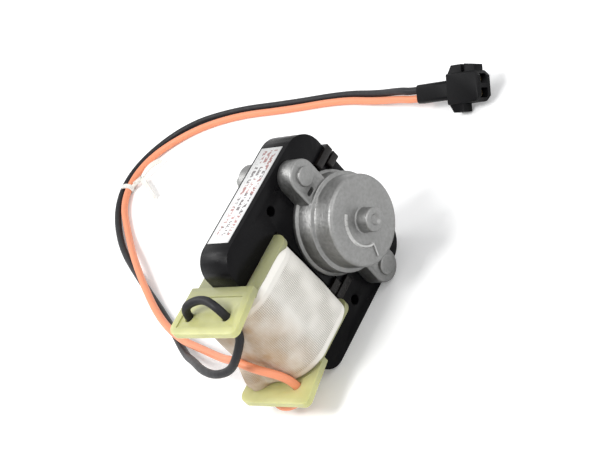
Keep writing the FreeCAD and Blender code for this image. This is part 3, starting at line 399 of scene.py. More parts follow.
def oiled_felt():
    """Wool felt full of oil: straw coloured, matt and hairy."""
    # The hair is drawn 0.4 mm across, coarser than the real one, so that it shows.
    material, tree, shader, place = start_material("oiled_felt", Roughness=0.9, Sheen_Weight=0.3)
    hair = add_node(tree, "ShaderNodeTexNoise", {"Vector": place, "Scale": 1 / (0.4 * MM), "Detail": 4.0})
    add_node(tree, "ShaderNodeMix", {0: hair, 6: linear("#a79c7c"), 7: linear("#dbd4be")},
             output=2, feeds=shader["Base Color"], data_type="RGBA")
    add_node(tree, "ShaderNodeBump", {"Height": hair, "Distance": 0.15 * MM}, feeds=shader["Normal"])
    return material


def ground_steel():
    """Centreless ground shaft steel: bright, with fine lines round it, drawn 0.25 mm apart to show."""
    material, tree, shader, place = start_material("ground_steel", Metallic=1.0)
    tint = add_node(tree, "ShaderNodeTexNoise", {"Vector": place, "Scale": 1 / (4 * MM)})
    add_node(tree, "ShaderNodeMix", {0: tint, 6: linear("#a3a6a8"), 7: linear("#cdcfd0")},
             output=2, feeds=shader["Base Color"], data_type="RGBA")
    lines = add_node(tree, "ShaderNodeTexWave", {"Vector": place, "Scale": math.pi / 10 / (0.25 * MM)},
                     output="Fac", bands_direction="Y")
    add_node(tree, "ShaderNodeMapRange", {"Value": lines, "To Min": 0.16, "To Max": 0.3},
             feeds=shader["Roughness"])
    return material


def turned_sheets(settings):
    """Rotor sheets turned on a lathe: mid grey steel with the edge of each sheet showing."""
    material, tree, shader, place = start_material("turned_sheets", Metallic=1.0, Roughness=0.4)
    sheets = add_node(tree, "ShaderNodeTexWave", {
        "Vector": place, "Scale": math.pi / 10 / settings.sheet_thickness,
    }, output="Fac", bands_direction="Y")
    add_node(tree, "ShaderNodeMix", {0: sheets, 6: linear("#5f6163"), 7: linear("#8f9193")},
             output=2, feeds=shader["Base Color"], data_type="RGBA")
    add_node(tree, "ShaderNodeBump", {"Height": sheets, "Distance": 0.02 * MM}, feeds=shader["Normal"])
    return material


def cast_aluminium():
    """Aluminium cast into the rotor: pale, with a fine cast skin."""
    material, tree, shader, place = start_material("cast_aluminium", Metallic=1.0)
    skin = add_node(tree, "ShaderNodeTexNoise", {"Vector": place, "Scale": 1 / (0.8 * MM), "Detail": 3.0})
    add_node(tree, "ShaderNodeMix", {0: skin, 6: linear("#9b9da0"), 7: linear("#cfd1d3")},
             output=2, feeds=shader["Base Color"], data_type="RGBA")
    add_node(tree, "ShaderNodeMapRange", {"Value": skin, "To Min": 0.32, "To Max": 0.5},
             feeds=shader["Roughness"])
    return material


def tinned_brass():
    """Stamped brass with a thin tin skin: pale gold, worn to yellow in patches."""
    material, tree, shader, place = start_material("tinned_brass", Metallic=1.0, Roughness=0.3)
    wear = add_node(tree, "ShaderNodeTexNoise", {"Vector": place, "Scale": 1 / (1 * MM)})
    add_node(tree, "ShaderNodeMix", {0: wear, 6: linear("#a88442"), 7: linear("#dcc88e")},
             output=2, feeds=shader["Base Color"], data_type="RGBA")
    return material


def enamelled_wire(settings):
    """Copper winding wire in clear enamel: red brown, glossy, turn laid beside turn."""
    material, tree, shader, place = start_material("enamelled_wire", Metallic=0.8, Roughness=0.3)
    turns = add_node(tree, "ShaderNodeTexWave", {
        "Vector": place, "Scale": math.pi / 10 / settings.wire_diameter,
    }, output="Fac", bands_direction="Z")
    add_node(tree, "ShaderNodeMix", {0: turns, 6: linear("#6d3116"), 7: linear("#b5652f")},
             output=2, feeds=shader["Base Color"], data_type="RGBA")
    add_node(tree, "ShaderNodeBump", {"Height": turns, "Distance": 0.1 * MM}, feeds=shader["Normal"])
    return material


def green_nylon(settings):
    """Unfilled nylon, moulded: pale green and waxy, and greyer towards the frame, partly where the black
    frame shows through it and partly as painted shade from the leg.
    """
    material, tree, shader, place = start_material(
        "green_nylon", IOR=1.53, Subsurface_Weight=0.4, Subsurface_Radius=(1.0, 1.0, 0.45),
        Subsurface_Scale=2.5 * MM)
    flow = add_node(tree, "ShaderNodeTexNoise", {"Vector": place, "Scale": 1 / (9 * MM), "Detail": 2.0})
    waxy = add_node(tree, "ShaderNodeMix", {
        0: flow, 6: linear(settings.deep_colour), 7: linear(settings.nylon_colour),
    }, output=2, data_type="RGBA")
    # Painted shade: the nylon darkens towards the frame's end for the leg's shadow, as well as for the frame
    # behind it.
    outwards = add_node(tree, "ShaderNodeSeparateXYZ", {"Vector": place}, output="X")
    frame_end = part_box("core_stack")[0].x
    unshaded_from = frame_end - 12 * MM
    full_shade_from = frame_end + 1 * MM
    backed_and_shaded = add_node(tree, "ShaderNodeMapRange", {
        "Value": outwards, "From Min": unshaded_from, "From Max": full_shade_from, "To Min": 0.0, "To Max": 0.88})
    add_node(tree, "ShaderNodeMix", {0: backed_and_shaded, 6: waxy, 7: linear(settings.backed_and_shaded_colour)},
             output=2, feeds=shader["Base Color"], data_type="RGBA")
    skin = add_node(tree, "ShaderNodeTexNoise", {"Vector": place, "Scale": 1 / (1.2 * MM), "Detail": 2.0})
    add_node(tree, "ShaderNodeMapRange", {"Value": skin, "To Min": 0.28, "To Max": 0.46},
             feeds=shader["Roughness"])
    add_node(tree, "ShaderNodeBump", {"Height": skin, "Distance": 0.02 * MM}, feeds=shader["Normal"])
    return material


def natural_nylon(name, colour):
    """Natural moulded nylon: milky white, waxy, faintly uneven."""
    material, tree, shader, place = start_material(
        name, IOR=1.53, Subsurface_Weight=0.2, Subsurface_Radius=(1.0, 1.0, 0.9),
        Subsurface_Scale=1.5 * MM)
    flow = add_node(tree, "ShaderNodeTexNoise", {"Vector": place, "Scale": 1 / (5 * MM)})
    add_node(tree, "ShaderNodeMix", {0: flow, 6: linear("#d9d4c6"), 7: linear(colour)},
             output=2, feeds=shader["Base Color"], data_type="RGBA")
    add_node(tree, "ShaderNodeMapRange", {"Value": flow, "To Min": 0.36, "To Max": 0.5},
             feeds=shader["Roughness"])
    return material


def black_nylon(settings):
    """Black nylon, moulded in a spark-eroded tool: near black with a low, even sheen."""
    # The tool's texture is drawn 0.6 mm across, coarser than the real one, so that it shows.
    material, tree, shader, place = start_material("black_nylon", IOR=1.53, Specular_IOR_Level=0.1)
    tool = add_node(tree, "ShaderNodeTexNoise", {"Vector": place, "Scale": 1 / (0.6 * MM), "Detail": 2.0})
    add_node(tree, "ShaderNodeMix", {0: tool, 6: linear("#08080a"), 7: linear(settings.connector_colour)},
             output=2, feeds=shader["Base Color"], data_type="RGBA")
    add_node(tree, "ShaderNodeMapRange", {"Value": tool, "To Min": 0.38, "To Max": 0.55},
             feeds=shader["Roughness"])
    add_node(tree, "ShaderNodeBump", {"Height": tool, "Distance": 0.02 * MM}, feeds=shader["Normal"])
    return material


def lead_insulation(name, colour, gloss):
    """Extruded insulation: a soft gloss, dusty in patches, with a faintly uneven skin from the die."""
    material, tree, shader, place = start_material(name, IOR=1.52, Specular_IOR_Level=gloss)
    shade = linear(colour)
    dusty = [channel * 0.85 + 0.01 for channel in shade[:3]] + [1.0]
    dust = add_node(tree, "ShaderNodeTexNoise", {"Vector": place, "Scale": 1 / (2.5 * MM), "Detail": 3.0})
    add_node(tree, "ShaderNodeMix", {0: dust, 6: dusty, 7: shade},
             output=2, feeds=shader["Base Color"], data_type="RGBA")
    add_node(tree, "ShaderNodeMapRange", {"Value": dust, "To Min": 0.4, "To Max": 0.6},
             feeds=shader["Roughness"])
    skin = add_node(tree, "ShaderNodeTexNoise", {"Vector": place, "Scale": 1 / (0.5 * MM)})
    add_node(tree, "ShaderNodeBump", {"Height": skin, "Distance": 0.02 * MM}, feeds=shader["Normal"])
    return material


def glass_cloth(settings):
    """Woven glass tape: matt white crossed threads, smooth selvages, and a brown low down that is partly
    varnish and partly painted shade.
    """
    material, tree, shader, place = start_material(
        "glass_cloth", Roughness=0.85, IOR=1.5, Sheen_Weight=0.15, Specular_IOR_Level=0.3)
    cloth = add_node(tree, "ShaderNodeUVMap", output="UV", uv_map="cloth")
    warp, weft = [add_node(tree, "ShaderNodeTexWave", {
        "Vector": cloth, "Scale": math.pi / 10 / settings.thread_spacing, "Distortion": 0.6,
        "Detail": 1.0, "Detail Scale": 1.5,
    }, output="Fac", bands_direction=axis) for axis in ("X", "Y")]
    warp_gap = add_node(tree, "ShaderNodeMath", {0: warp, 1: 3.0}, operation="POWER")
    weft_gap = add_node(tree, "ShaderNodeMath", {0: weft, 1: 5.0}, operation="POWER")
    gap = add_node(tree, "ShaderNodeMath", {0: warp_gap, 1: weft_gap}, operation="MAXIMUM")
    low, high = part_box("winding_tape")
    weave_end = high.z - settings.selvage
    selvage_start = high.z - settings.selvage * 0.8
    varnish_and_shade_from = low.x + 13 * MM
    away = add_node(tree, "ShaderNodeSeparateXYZ", {"Vector": place}, output="Z")
    distance = add_node(tree, "ShaderNodeMath", {0: away}, operation="ABSOLUTE")
    inside = add_node(tree, "ShaderNodeMapRange", {
        "Value": distance, "From Min": weave_end, "From Max": selvage_start, "To Min": 1.0, "To Max": 0.0})
    folds = add_node(tree, "ShaderNodeTexNoise", {"Vector": place, "Scale": 1 / (9 * MM), "Detail": 1.0})
    patch = add_node(tree, "ShaderNodeMapRange", {
        "Value": folds, "From Min": 0.38, "From Max": 0.6, "To Min": 0.3, "To Max": 1.0})
    open_patch = add_node(tree, "ShaderNodeMath", {0: patch, 1: inside}, operation="MULTIPLY")
    shown = add_node(tree, "ShaderNodeMath", {0: gap, 1: open_patch}, operation="MULTIPLY")
    woven = add_node(tree, "ShaderNodeMix", {
        0: shown, 6: linear(settings.cloth_colour), 7: linear(settings.thread_shadow_colour),
    }, output=2, data_type="RGBA")
    across = add_node(tree, "ShaderNodeSeparateXYZ", {"Vector": place}, output="X")
    # Varnish and painted shade: the cloth turns brown towards the coil's low end.
    varnish_and_shade = add_node(tree, "ShaderNodeMapRange", {
        "Value": across, "From Min": varnish_and_shade_from, "From Max": low.x, "To Min": 0.0, "To Max": 1.2})
    creep = add_node(tree, "ShaderNodeTexNoise", {"Vector": place, "Scale": 1 / (6 * MM), "Detail": 3.0})
    uneven = add_node(tree, "ShaderNodeMath", {0: varnish_and_shade, 1: creep}, operation="MULTIPLY")
    add_node(tree, "ShaderNodeMix", {0: uneven, 6: woven, 7: linear(settings.varnish_and_shade_colour)},
             output=2, feeds=shader["Base Color"], data_type="RGBA")
    add_node(tree, "ShaderNodeBump", {"Height": shown, "Distance": 0.05 * MM}, feeds=shader["Normal"],
             invert=True)
    return material


def printed_film(settings):
    """White label film: smooth, a little glossy, with rows of short plain marks in red and dark ink."""
    material, tree, shader, place = start_material(
        "printed_film", Roughness=0.34, IOR=1.5, Specular_IOR_Level=0.3)
    low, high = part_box("label")
    margins = {"X": (3 * MM, 1.2 * MM), "Y": (1.1 * MM, 1.1 * MM)}
    first_row = low.y + 1.3 * MM
    mark_share = 0.62
    mark_size = 0.6 * MM
    x, y = [add_node(tree, "ShaderNodeSeparateXYZ", {"Vector": place}, output=axis) for axis in margins]
    row = add_node(tree, "ShaderNodeMapRange", {
        "Value": y, "From Min": first_row, "From Max": first_row + settings.row_pitch}, clamp=False)
    in_row = add_node(tree, "ShaderNodeMath", {0: row}, operation="FRACT")
    printed = add_node(tree, "ShaderNodeMath", {0: in_row, 1: mark_share}, operation="LESS_THAN")
    for value, start, end, (before, after) in ((x, low.x, high.x, margins["X"]),
                                               (y, low.y, high.y, margins["Y"])):
        middle = (start + before + end - after) / 2
        half = (end - after - start - before) / 2
        inside = add_node(tree, "ShaderNodeMath", {0: value, 1: middle, 2: half}, operation="COMPARE")
        printed = add_node(tree, "ShaderNodeMath", {0: printed, 1: inside}, operation="MULTIPLY")
    squeezed = add_node(tree, "ShaderNodeMapping", {"Vector": place, "Scale": (1.0, 0.45, 1.0)})
    marks = add_node(tree, "ShaderNodeTexNoise", {"Vector": squeezed, "Scale": 1 / mark_size, "Detail": 0.5})
    stroke = add_node(tree, "ShaderNodeMath", {0: marks, 1: 0.5}, operation="GREATER_THAN")
    ink = add_node(tree, "ShaderNodeMath", {0: stroke, 1: printed}, operation="MULTIPLY")
    thin_ink = add_node(tree, "ShaderNodeMath", {0: ink, 1: 0.8}, operation="MULTIPLY")
    run = add_node(tree, "ShaderNodeTexNoise", {"Vector": place, "Scale": 1 / (7 * MM), "Detail": 0.0})
    dark = add_node(tree, "ShaderNodeMath", {0: run, 1: 0.5}, operation="GREATER_THAN")
    hue = add_node(tree, "ShaderNodeMix", {
        0: dark, 6: linear(settings.red_colour), 7: linear(settings.ink_colour),
    }, output=2, data_type="RGBA")
    add_node(tree, "ShaderNodeMix", {0: thin_ink, 6: linear(settings.film_colour), 7: hue},
             output=2, feeds=shader["Base Color"], data_type="RGBA")
    return material


def white_table(settings):
    """A pale matt table, which the camera sees fade to plain white away from the motor."""
    material, tree, shader, place = start_material(
        "white_table", Roughness=0.9, Specular_IOR_Level=0.2, Emission_Color=linear("#ffffff"))
    seen = add_node(tree, "ShaderNodeLightPath", output="Is Camera Ray")
    away = add_node(tree, "ShaderNodeVectorMath", {0: place}, output="Value", operation="LENGTH")
    glow = add_node(tree, "ShaderNodeMapRange", {
        "Value": away, "From Min": 0.3, "From Max": 0.9, "To Min": settings.floor_glow, "To Max": 1.0})
    add_node(tree, "ShaderNodeMath", {0: seen, 1: glow}, feeds=shader["Emission Strength"],
             operation="MULTIPLY")
    wear = add_node(tree, "ShaderNodeTexNoise", {"Vector": place, "Scale": 1 / (40 * MM)})
    add_node(tree, "ShaderNodeMix", {0: wear, 6: linear(settings.floor_colour), 7: linear("#ffffff")},
             output=2, feeds=shader["Base Color"], data_type="RGBA")
    return material


# Shapes.

def finish_node(name, material, edge=0.0):
    """Gives a frame node its material, smooth curved faces and edges rounded to a radius."""
    thing = nodes[name]
    thing.data.materials.clear()
    thing.data.materials.append(material)
    weld = thing.modifiers.new("weld", "WELD")
    weld.merge_threshold = 0.002 * MM
    if edge:
        bevel = thing.modifiers.new("soft_edges", "BEVEL")
        bevel.width = edge
        bevel.segments = 2
        bevel.limit_method = "ANGLE"
        bevel.angle_limit = math.radians(40)
        bevel.use_clamp_overlap = True
        bevel.harden_normals = True
    thing.data.shade_smooth()
    return thing


def new_piece(name, mesh, material, body="root", replaces=()):
    """Links a mesh as a piece that rides on a body and takes its finish from a slot."""
    thing = bpy.data.objects.new(name, mesh)
    bpy.context.scene.collection.objects.link(thing)
    mesh.materials.append(material)
    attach(thing, body)
    if replaces:
        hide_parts(*replaces)
    return thing


def mesh_from(name, builder):
    """Runs a function that fills a bmesh, and gives the mesh with smooth faces."""
    work = bmesh.new()
    builder(work)
    bmesh.ops.recalc_face_normals(work, faces=work.faces)
    mesh = bpy.data.meshes.new(name)
    work.to_mesh(mesh)
    work.free()
    mesh.shade_smooth()
    mesh.set_sharp_from_angle(angle=math.radians(38))
    return mesh


def rounded_loop(low, high, radii, steps=10):
    """Points round a rectangle with a radius at each corner, anticlockwise from the low corner."""
    corners = [
        (Vector((low[0], low[1])), Vector((1, 1)), 180, radii[0]),
        (Vector((high[0], low[1])), Vector((-1, 1)), 270, radii[1]),
        (Vector((high[0], high[1])), Vector((-1, -1)), 0, radii[2]),
        (Vector((low[0], high[1])), Vector((1, -1)), 90, radii[3]),
    ]
    points = []
    for corner, inward, start, radius in corners:
        centre = corner + inward * radius
        for step in range(steps + 1):
            angle = math.radians(start + 90 * step / steps)
            points.append(centre + Vector((math.cos(angle), math.sin(angle))) * radius)
    return points


def even_loop(points, count):
    """The same closed loop with evenly spaced points, its outward normals and its length."""
    closed = points + points[:1]
    lengths = [0.0]
    for here, there in zip(closed, closed[1:]):
        lengths.append(lengths[-1] + (there - here).length)
    total = lengths[-1]
    spots = []
    piece = 0
    for step in range(count):
        wanted = total * step / count
        while lengths[piece + 1] < wanted:
            piece += 1
        share = (wanted - lengths[piece]) / max(lengths[piece + 1] - lengths[piece], 1e-9)
        spots.append(closed[piece].lerp(closed[piece + 1], share))
    normals = []
    for step in range(count):
        ahead = spots[(step + 1) % count] - spots[step - 1]
        normals.append(Vector((ahead.y, -ahead.x)).normalized())
    return spots, normals, total


def coil_end():
    """How far the coil reaches above and below the bobbin's middle, just short of its flanges."""
    gap = 0.05 * MM
    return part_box("core_bar")[1].z - gap


def make_coil(settings):
    """The winding under the tape, round at its corners, with flat ends at the bobbin's flanges."""
    low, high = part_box("copper_winding")
    ends = [-coil_end(), coil_end()]
    inset = 2.2 * MM
    radii = [radius - inset for radius in (
        settings.front_round, settings.near_round, settings.near_round, settings.rear_round)]
    loop = rounded_loop((low.x + inset, low.y + inset), (high.x - inset, high.y - inset), radii)

    def build(work):
        rings = [[work.verts.new((at.x, at.y, z)) for at in loop] for z in ends]
        for step in range(len(loop)):
            after = (step + 1) % len(loop)
            work.faces.new((rings[0][step], rings[0][after], rings[1][after], rings[1][step]))
        for ring in rings:
            work.faces.new(ring)

    return mesh_from("wound_wire", build)


def make_coil_tape(settings):
    """The woven tape round the coil, with its last layer's end, soft folds and turned-in rims."""
    low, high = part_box("winding_tape")
    near, front = settings.near_round, settings.front_round
    around, up = 240, 30
    lap_start, lap_end, lap_edge = 0.74, 0.98, 0.006
    folded_up_to = 0.45
    crease_size, crease_depth = 7 * MM, 0.16 * MM
    swell_depth = 0.35 * MM
    rim_width = 2.0 * MM
    lead_end = Vector((low.x, ORANGE_ROUTE[0][1] * MM))
    lump_reach, lump_up_to = 5 * MM, 0.35

    def lap(share):
        """1 where the outer layer of tape lies, with a short slope at its ends."""
        inside = min(share - lap_start, lap_end - share)
        return min(max(inside / lap_edge + 0.5, 0.0), 1.0)

    def build(work):
        sheet = work.loops.layers.uv.new("cloth")
        rows = []
        for level in range(-1, up + 2):
            share_up = min(max(level / up, 0.0), 1.0)
            rim = rim_width if level in (-1, up + 1) else 0.0
            fold_share = max(1 - share_up / folded_up_to, 0.0) ** 1.5
            rear = settings.rear_round + (settings.folded_round - settings.rear_round) * fold_share
            spots, normals, total = even_loop(rounded_loop(low, high, (front, near, near, rear)), around)
            z = low.z + (high.z - low.z) * share_up
            if rim:
                z = math.copysign(coil_end(), z)
            row = []
            for step in range(around + 1):
                spot, normal = spots[step % around], normals[step % around]
                crease = crease_depth * noise.noise(Vector((spot.x, spot.y, z)) / crease_size)
                swell = swell_depth * (math.sin(math.pi * share_up) ** 0.5 - 1)
                layer = settings.tape_thickness * (lap(step / around) - 1) * 0.6
                near_lead = math.exp(-((spot - lead_end).length / lump_reach) ** 2)
                lump = settings.lead_bump * near_lead * max(1 - share_up / lump_up_to, 0.0)
                out = swell + crease + layer + lump
                at = spot + normal * (out - rim * (1 - near_lead * (1 - share_up)))
                row.append(work.verts.new((at.x, at.y, z)))
            rows.append(row)
        for lower, upper in zip(rows, rows[1:]):
            for step in range(around):
                face = work.faces.new((lower[step], lower[step + 1], upper[step + 1], upper[step]))
                for corner, ahead in zip(face.loops, (0, 1, 1, 0)):
                    corner[sheet].uv = (total * (step + ahead) / around, corner.vert.co.z)

    return mesh_from("coil_tape", build)


def lead_curve(name, route, diameter, material):
    """A lead as a smooth curve through its route."""
    curve = bpy.data.curves.new(name, "CURVE")
    curve.dimensions = "3D"
    curve.bevel_depth = diameter / 2
    curve.bevel_resolution = 6
    curve.resolution_u = 12
    curve.use_fill_caps = True
    line = curve.splines.new("NURBS")
    line.points.add(len(route) - 1)
    for point, place in zip(line.points, route):
        point.co = (*(value * MM for value in place), 1.0)
    line.order_u = 3
    line.use_endpoint_u = True
    curve.materials.append(material)
    thing = bpy.data.objects.new(name, curve)
    bpy.context.scene.collection.objects.link(thing)
    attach(thing, "root")
    return thing


def ribbon(work, spots, wide, thick):
    """A flat strip through spots, each with the direction of its width."""
    rings = []
    for index, (at, across) in enumerate(spots):
        before, after = spots[max(index - 1, 0)][0], spots[min(index + 1, len(spots) - 1)][0]
        along = (after - before).normalized()
        out = along.cross(across).normalized()
        rings.append([work.verts.new(at + across * (side * wide / 2) + out * (face * thick / 2))
                      for side, face in ((-1, -1), (1, -1), (1, 1), (-1, 1))])
    for here, there in zip(rings, rings[1:]):
        for k in range(4):
            after = (k + 1) % 4
            work.faces.new((here[k], here[after], there[after], there[k]))
    work.faces.new(rings[0])
    work.faces.new(rings[-1])


def make_tie(settings):
    """A thin nylon tie round both leads, twisted to a knot, with its two ends spread apart."""
    band_middle = Vector(settings.tie_place)
    knot = Vector(settings.tie_knot)
    band_reach, band_rise = 3.3 * MM, 1.85 * MM
    band_steps, end_steps, twists = 28, 6, 3
    twist_start = Vector((0.0, -2.6 * MM, 0.4 * MM))
    end_turn = 0.9
    across = Vector((1.0, 0.15, 0.0)).normalized()

    def build(work):
        band = []
        for step in range(band_steps + 1):
            angle = 2 * math.pi * step / band_steps
            reach = Vector((0.0, band_reach * math.cos(angle), band_rise * math.sin(angle)))
            band.append((band_middle + reach, across))
        ribbon(work, band, settings.tie_width, settings.tie_thickness)
        for turn in range(twists):
            share = turn / twists
            shift = Vector((0.0, twist_start.y * (1 - share), twist_start.z))
            start = band_middle.lerp(knot, share) + shift
            tilt = Vector((math.cos(turn * 1.3), 0.2, math.sin(turn * 1.3))).normalized()
            ribbon(work, [(start, tilt), (start.lerp(knot, 0.6), tilt), (knot, tilt)],
                   settings.tie_width * 0.9, settings.tie_thickness * 1.6)
        for place, lift in ((settings.tie_short_end, 1.4 * MM), (settings.tie_long_end, 0.6 * MM)):
            tip = Vector(place)
            along = (tip - knot).normalized()
            side = along.cross(Vector((0.0, 0.0, 1.0))).normalized()
            spots = []
            for step in range(end_steps + 1):
                share = step / end_steps
                arch = Vector((0.0, 0.0, lift * math.sin(math.pi * share)))
                twist = Matrix.Rotation(end_turn * share, 3, along)
                spots.append((knot.lerp(tip, share) + arch, twist @ side))
            ribbon(work, spots, settings.tie_width, settings.tie_thickness)

    return mesh_from("wire_tie", build)


def arc_rib(settings, level):
    """A low raised arc on the cap, with a short bar outwards at its end."""
    half = settings.rib_width / 2
    slope = settings.rib_height * 0.8
    sunk = 0.05 * MM
    turn = half / settings.rib_reach
    inner_edge = settings.rib_radius - half
    outer_edge = settings.rib_radius + half
    bands = [
        (inner_edge, outer_edge, settings.rib_start, settings.rib_end, 48),
        (outer_edge, settings.rib_reach, settings.rib_end - 2 * turn, settings.rib_end, 2),
    ]

    def at(radius, angle, height):
        return (radius * math.cos(angle), level - height, radius * math.sin(angle))

    def build(work):
        for inner, outer, start, end, steps in bands:
            rings = []
            for step in range(steps + 1):
                angle = start + (end - start) * step / steps
                rings.append([work.verts.new(at(*spot)) for spot in (
                    (inner - slope, angle, -sunk), (inner, angle, settings.rib_height),
                    (outer, angle, settings.rib_height), (outer + slope, angle, -sunk))])
            for here, there in zip(rings, rings[1:]):
                for k in range(4):
                    after = (k + 1) % 4
                    work.faces.new((here[k], here[after], there[after], there[k]))
            work.faces.new(rings[0])
            work.faces.new(rings[-1])

    return mesh_from("cap_rib", build)


# Operators, one for each piece or group of like pieces.

class MOTOR_OT_stage(bpy.types.Operator):
    """Sets up the camera, the white table and the soft lamps"""
    bl_idname = "motor.stage"
    bl_label = "Stage"

    def execute(self, context):
        settings = context.scene.motor.stage
        scene = context.scene
        scene.view_settings.view_transform = "Standard"
        lens = bpy.data.cameras.new("camera")
        lens.lens = settings.camera_lens
        lens.sensor_width = 36
        lens.clip_start = 0.01
        camera = bpy.data.objects.new("camera", lens)
        back = -Vector(settings.camera_forward).normalized()
        right = Vector(settings.camera_up).cross(back).normalized()
        up = back.cross(right)
        turn = Matrix((right, up, back)).transposed().to_4x4()
        camera.matrix_world = Matrix.Translation(settings.camera_place) @ turn
        scene.collection.objects.link(camera)
        scene.camera = camera
        self.make_table(scene, settings)
        for name, power, place, width in (
                ("window_lamp", settings.window_power, (-0.42, 0.08, 0.8), 0.35),
                ("front_lamp", settings.front_power, (0.15, -0.8, 0.5), 0.8),
                ("back_lamp", settings.back_power, (-0.08, 0.66, 0.64), 0.4)):
            self.make_lamp(scene, name, power, place, width)
        self.make_room(scene, settings)
        return {"FINISHED"}

    def make_table(self, scene, settings):
        half = 3.0
        mesh = bpy.data.meshes.new("table")
        corners = [(-half, -half), (half, -half), (half, half), (-half, half)]
        mesh.from_pydata([(x, y, floor_level) for x, y in corners], [], [(0, 1, 2, 3)])
        mesh.materials.append(white_table(settings))
        table = bpy.data.objects.new("table", mesh)
        scene.collection.objects.link(table)

    def make_lamp(self, scene, name, power, place, width):
        lamp = bpy.data.lights.new(name, "AREA")
        lamp.energy = power
        lamp.shape = "DISK"
        lamp.size = width
        thing = bpy.data.objects.new(name, lamp)
        thing.location = place
        thing.rotation_mode = "QUATERNION"
        thing.rotation_quaternion = (-thing.location).to_track_quat("-Z", "Y")
        scene.collection.objects.link(thing)

    def make_room(self, scene, settings):
        world = bpy.data.worlds.new("room")
        world.use_nodes = True
        tree = world.node_tree
        tree.nodes.clear()
        plain_rays = add_node(tree, "ShaderNodeLightPath", output="Is Camera Ray")
        for kind in ("Is Glossy Ray", "Is Transmission Ray"):
            rays = add_node(tree, "ShaderNodeLightPath", output=kind)
            plain_rays = add_node(tree, "ShaderNodeMath", {0: plain_rays, 1: rays}, operation="MAXIMUM")
        room = add_node(tree, "ShaderNodeBackground",
                        {"Color": linear("#f7f8fa"), "Strength": settings.sky_strength})
        plain = add_node(tree, "ShaderNodeBackground", {"Color": linear("#ffffff"), "Strength": 1.0})
        add_node(tree, "ShaderNodeOutputWorld", {
            "Surface": add_node(tree, "ShaderNodeMixShader", {"Fac": plain_rays, 1: room, 2: plain})})
        scene.world = world


class MOTOR_OT_leads(bpy.types.Operator):
    """Lays the two leads along their routes"""
    bl_idname = "motor.leads"
    bl_label = "Leads"

    def execute(self, context):
        settings = context.scene.motor.leads
        for tint, route, length, colour, gloss in (
                ("black", BLACK_ROUTE, settings.black_length, settings.black_colour, 0.25),
                ("orange", ORANGE_ROUTE, settings.orange_length, settings.orange_colour, 0.4)):
            insulation = lead_insulation(tint + "_insulation", colour, gloss)
            lead = lead_curve(tint + "_wire", route, settings.diameter, insulation)
            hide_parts(tint + "_lead")
        return {"FINISHED"}


class MOTOR_OT_core(bpy.types.Operator):
    """Enamels the laminated frame and the shading rings"""
    bl_idname = "motor.core"
    bl_label = "Laminated frame"

    def execute(self, context):
        settings = context.scene.motor.core
        enamel = baked_enamel(settings)
        for name in ("core_stack", "core_bar"):
            finish_node(name, enamel, settings.edge_radius)
        dipped = dipped_copper()
        for number in range(1, 5):
            finish_node(f"shading_ring_{number}", dipped, settings.ring_edge_radius)
        return {"FINISHED"}


class MOTOR_OT_brackets(bpy.types.Operator):
    """Finishes the two die-cast bearing brackets and raises the plain line on the cap"""
    bl_idname = "motor.brackets"
    bl_label = "Bearing brackets"

    def execute(self, context):
        settings = context.scene.motor.brackets
        metal = tumbled_die_cast(settings)
        for name in ("front_bracket", "rear_bracket"):
            finish_node(name, metal, settings.edge_radius)
        nub_height = 5.0 * MM
        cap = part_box("front_bracket")[0].y + nub_height
        new_piece("cap_rib", arc_rib(settings, cap), rubbed_and_highlit_die_cast(settings))
        return {"FINISHED"}


class MOTOR_OT_bearings(bpy.types.Operator):
    """Finishes the bearings, oil wicks and retainers inside the brackets"""
    bl_idname = "motor.bearings"
    bl_label = "Bearings"

    def execute(self, context):
        bronze = sintered_bronze()
        felt = oiled_felt()
        plate = zinc_plate()
        for end in ("front", "rear"):
            finish_node(end + "_bearing", bronze, edge=0.15 * MM)
            finish_node(end + "_oil_wick", felt)
            finish_node(end + "_bearing_retainer", plate)
        return {"FINISHED"}


class MOTOR_OT_screws(bpy.types.Operator):
    """Plates the two long bracket screws"""
    bl_idname = "motor.screws"
    bl_label = "Bracket screws"

    def execute(self, context):
        plate = zinc_plate()
        for number in (1, 2):
            finish_node(f"bracket_screw_{number}", plate, edge=0.2 * MM)
        return {"FINISHED"}


class MOTOR_OT_rotor(bpy.types.Operator):
    """Finishes the shaft, the rotor and its spacers and washers"""
    bl_idname = "motor.rotor"
    bl_label = "Rotor"

    def execute(self, context):
        finish_node("shaft", ground_steel(), edge=0.1 * MM)
        finish_node("rotor_core", turned_sheets(context.scene.motor.core))
        finish_node("rotor_cage", cast_aluminium(), edge=0.2 * MM)
        nylon = natural_nylon("natural_nylon", "#ebe7da")
        steel = zinc_plate()
        for end in ("front", "rear"):
            finish_node(end + "_rotor_spacer", nylon, edge=0.15 * MM)
            finish_node(end + "_thrust_washer", steel, edge=0.1 * MM)
        return {"FINISHED"}


class MOTOR_OT_bobbin(bpy.types.Operator):
    """Finishes the moulded bobbin"""
    bl_idname = "motor.bobbin"
    bl_label = "Bobbin"

    def execute(self, context):
        settings = context.scene.motor.bobbin
        finish_node("bobbin", green_nylon(settings), settings.edge_radius)
        return {"FINISHED"}


class MOTOR_OT_coil(bpy.types.Operator):
    """Wraps the copper winding in woven tape"""
    bl_idname = "motor.coil"
    bl_label = "Coil"

    def execute(self, context):
        settings = context.scene.motor.coil
        new_piece("wound_wire", make_coil(settings), enamelled_wire(settings),
                  replaces=("copper_winding",))
        new_piece("coil_tape", make_coil_tape(settings), glass_cloth(settings),
                  replaces=("winding_tape",))
        return {"FINISHED"}


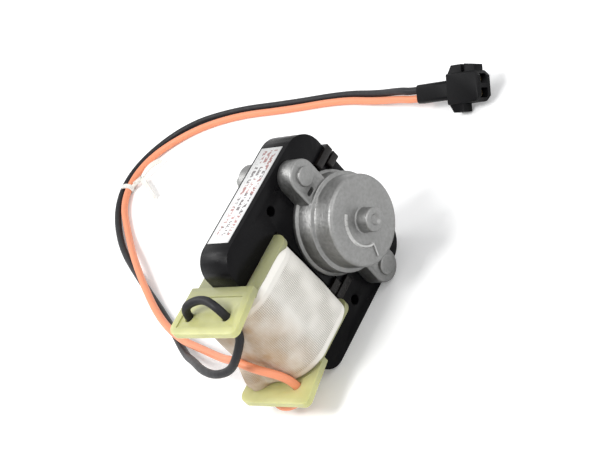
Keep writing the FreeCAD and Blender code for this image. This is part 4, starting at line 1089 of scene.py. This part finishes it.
class MOTOR_OT_label(bpy.types.Operator):
    """Finishes the label film with plain marks"""
    bl_idname = "motor.label"
    bl_label = "Label"

    def execute(self, context):
        finish_node("label", printed_film(context.scene.motor.label))
        return {"FINISHED"}


class MOTOR_OT_fittings(bpy.types.Operator):
    """Finishes the cable tie, the connector and its terminals"""
    bl_idname = "motor.fittings"
    bl_label = "Tie and connector"

    def execute(self, context):
        settings = context.scene.motor.fittings
        white = natural_nylon("white_nylon", settings.tie_colour)
        new_piece("wire_tie", make_tie(settings), white, replaces=("cable_tie",))
        black = black_nylon(settings)
        for name in ("connector_housing", "connector_sleeve"):
            finish_node(name, black, settings.edge_radius)
        brass = tinned_brass()
        for number in (1, 2):
            finish_node(f"terminal_{number}", brass, edge=0.15 * MM)
        return {"FINISHED"}


OPERATORS = (
    MOTOR_OT_stage, MOTOR_OT_core, MOTOR_OT_brackets, MOTOR_OT_bearings, MOTOR_OT_screws,
    MOTOR_OT_rotor, MOTOR_OT_bobbin, MOTOR_OT_coil, MOTOR_OT_label, MOTOR_OT_fittings, MOTOR_OT_leads,
)


class MOTOR_PT_panel(bpy.types.Panel):
    """Lists the motor's pieces"""
    bl_idname = "MOTOR_PT_panel"
    bl_label = "Condenser fan motor"
    bl_space_type = "VIEW_3D"
    bl_region_type = "UI"
    bl_category = "Motor"

    def draw(self, context):
        for operator in OPERATORS:
            self.layout.operator(operator.bl_idname)


SETTINGS = (
    StageSettings, CoreSettings, BracketSettings, BobbinSettings, CoilSettings, LeadSettings,
    FittingSettings, LabelSettings, MotorSettings,
)


def register():
    for thing in (*SETTINGS, *OPERATORS, MOTOR_PT_panel):
        bpy.utils.register_class(thing)
    bpy.types.Scene.motor = PointerProperty(type=MotorSettings)


def unregister():
    del bpy.types.Scene.motor
    for thing in reversed((*SETTINGS, *OPERATORS, MOTOR_PT_panel)):
        bpy.utils.unregister_class(thing)


def main():
    register()
    for operator in OPERATORS:
        group, name = operator.bl_idname.split(".")
        getattr(getattr(bpy.ops, group), name)()


if __name__ == "__main__":
    main()
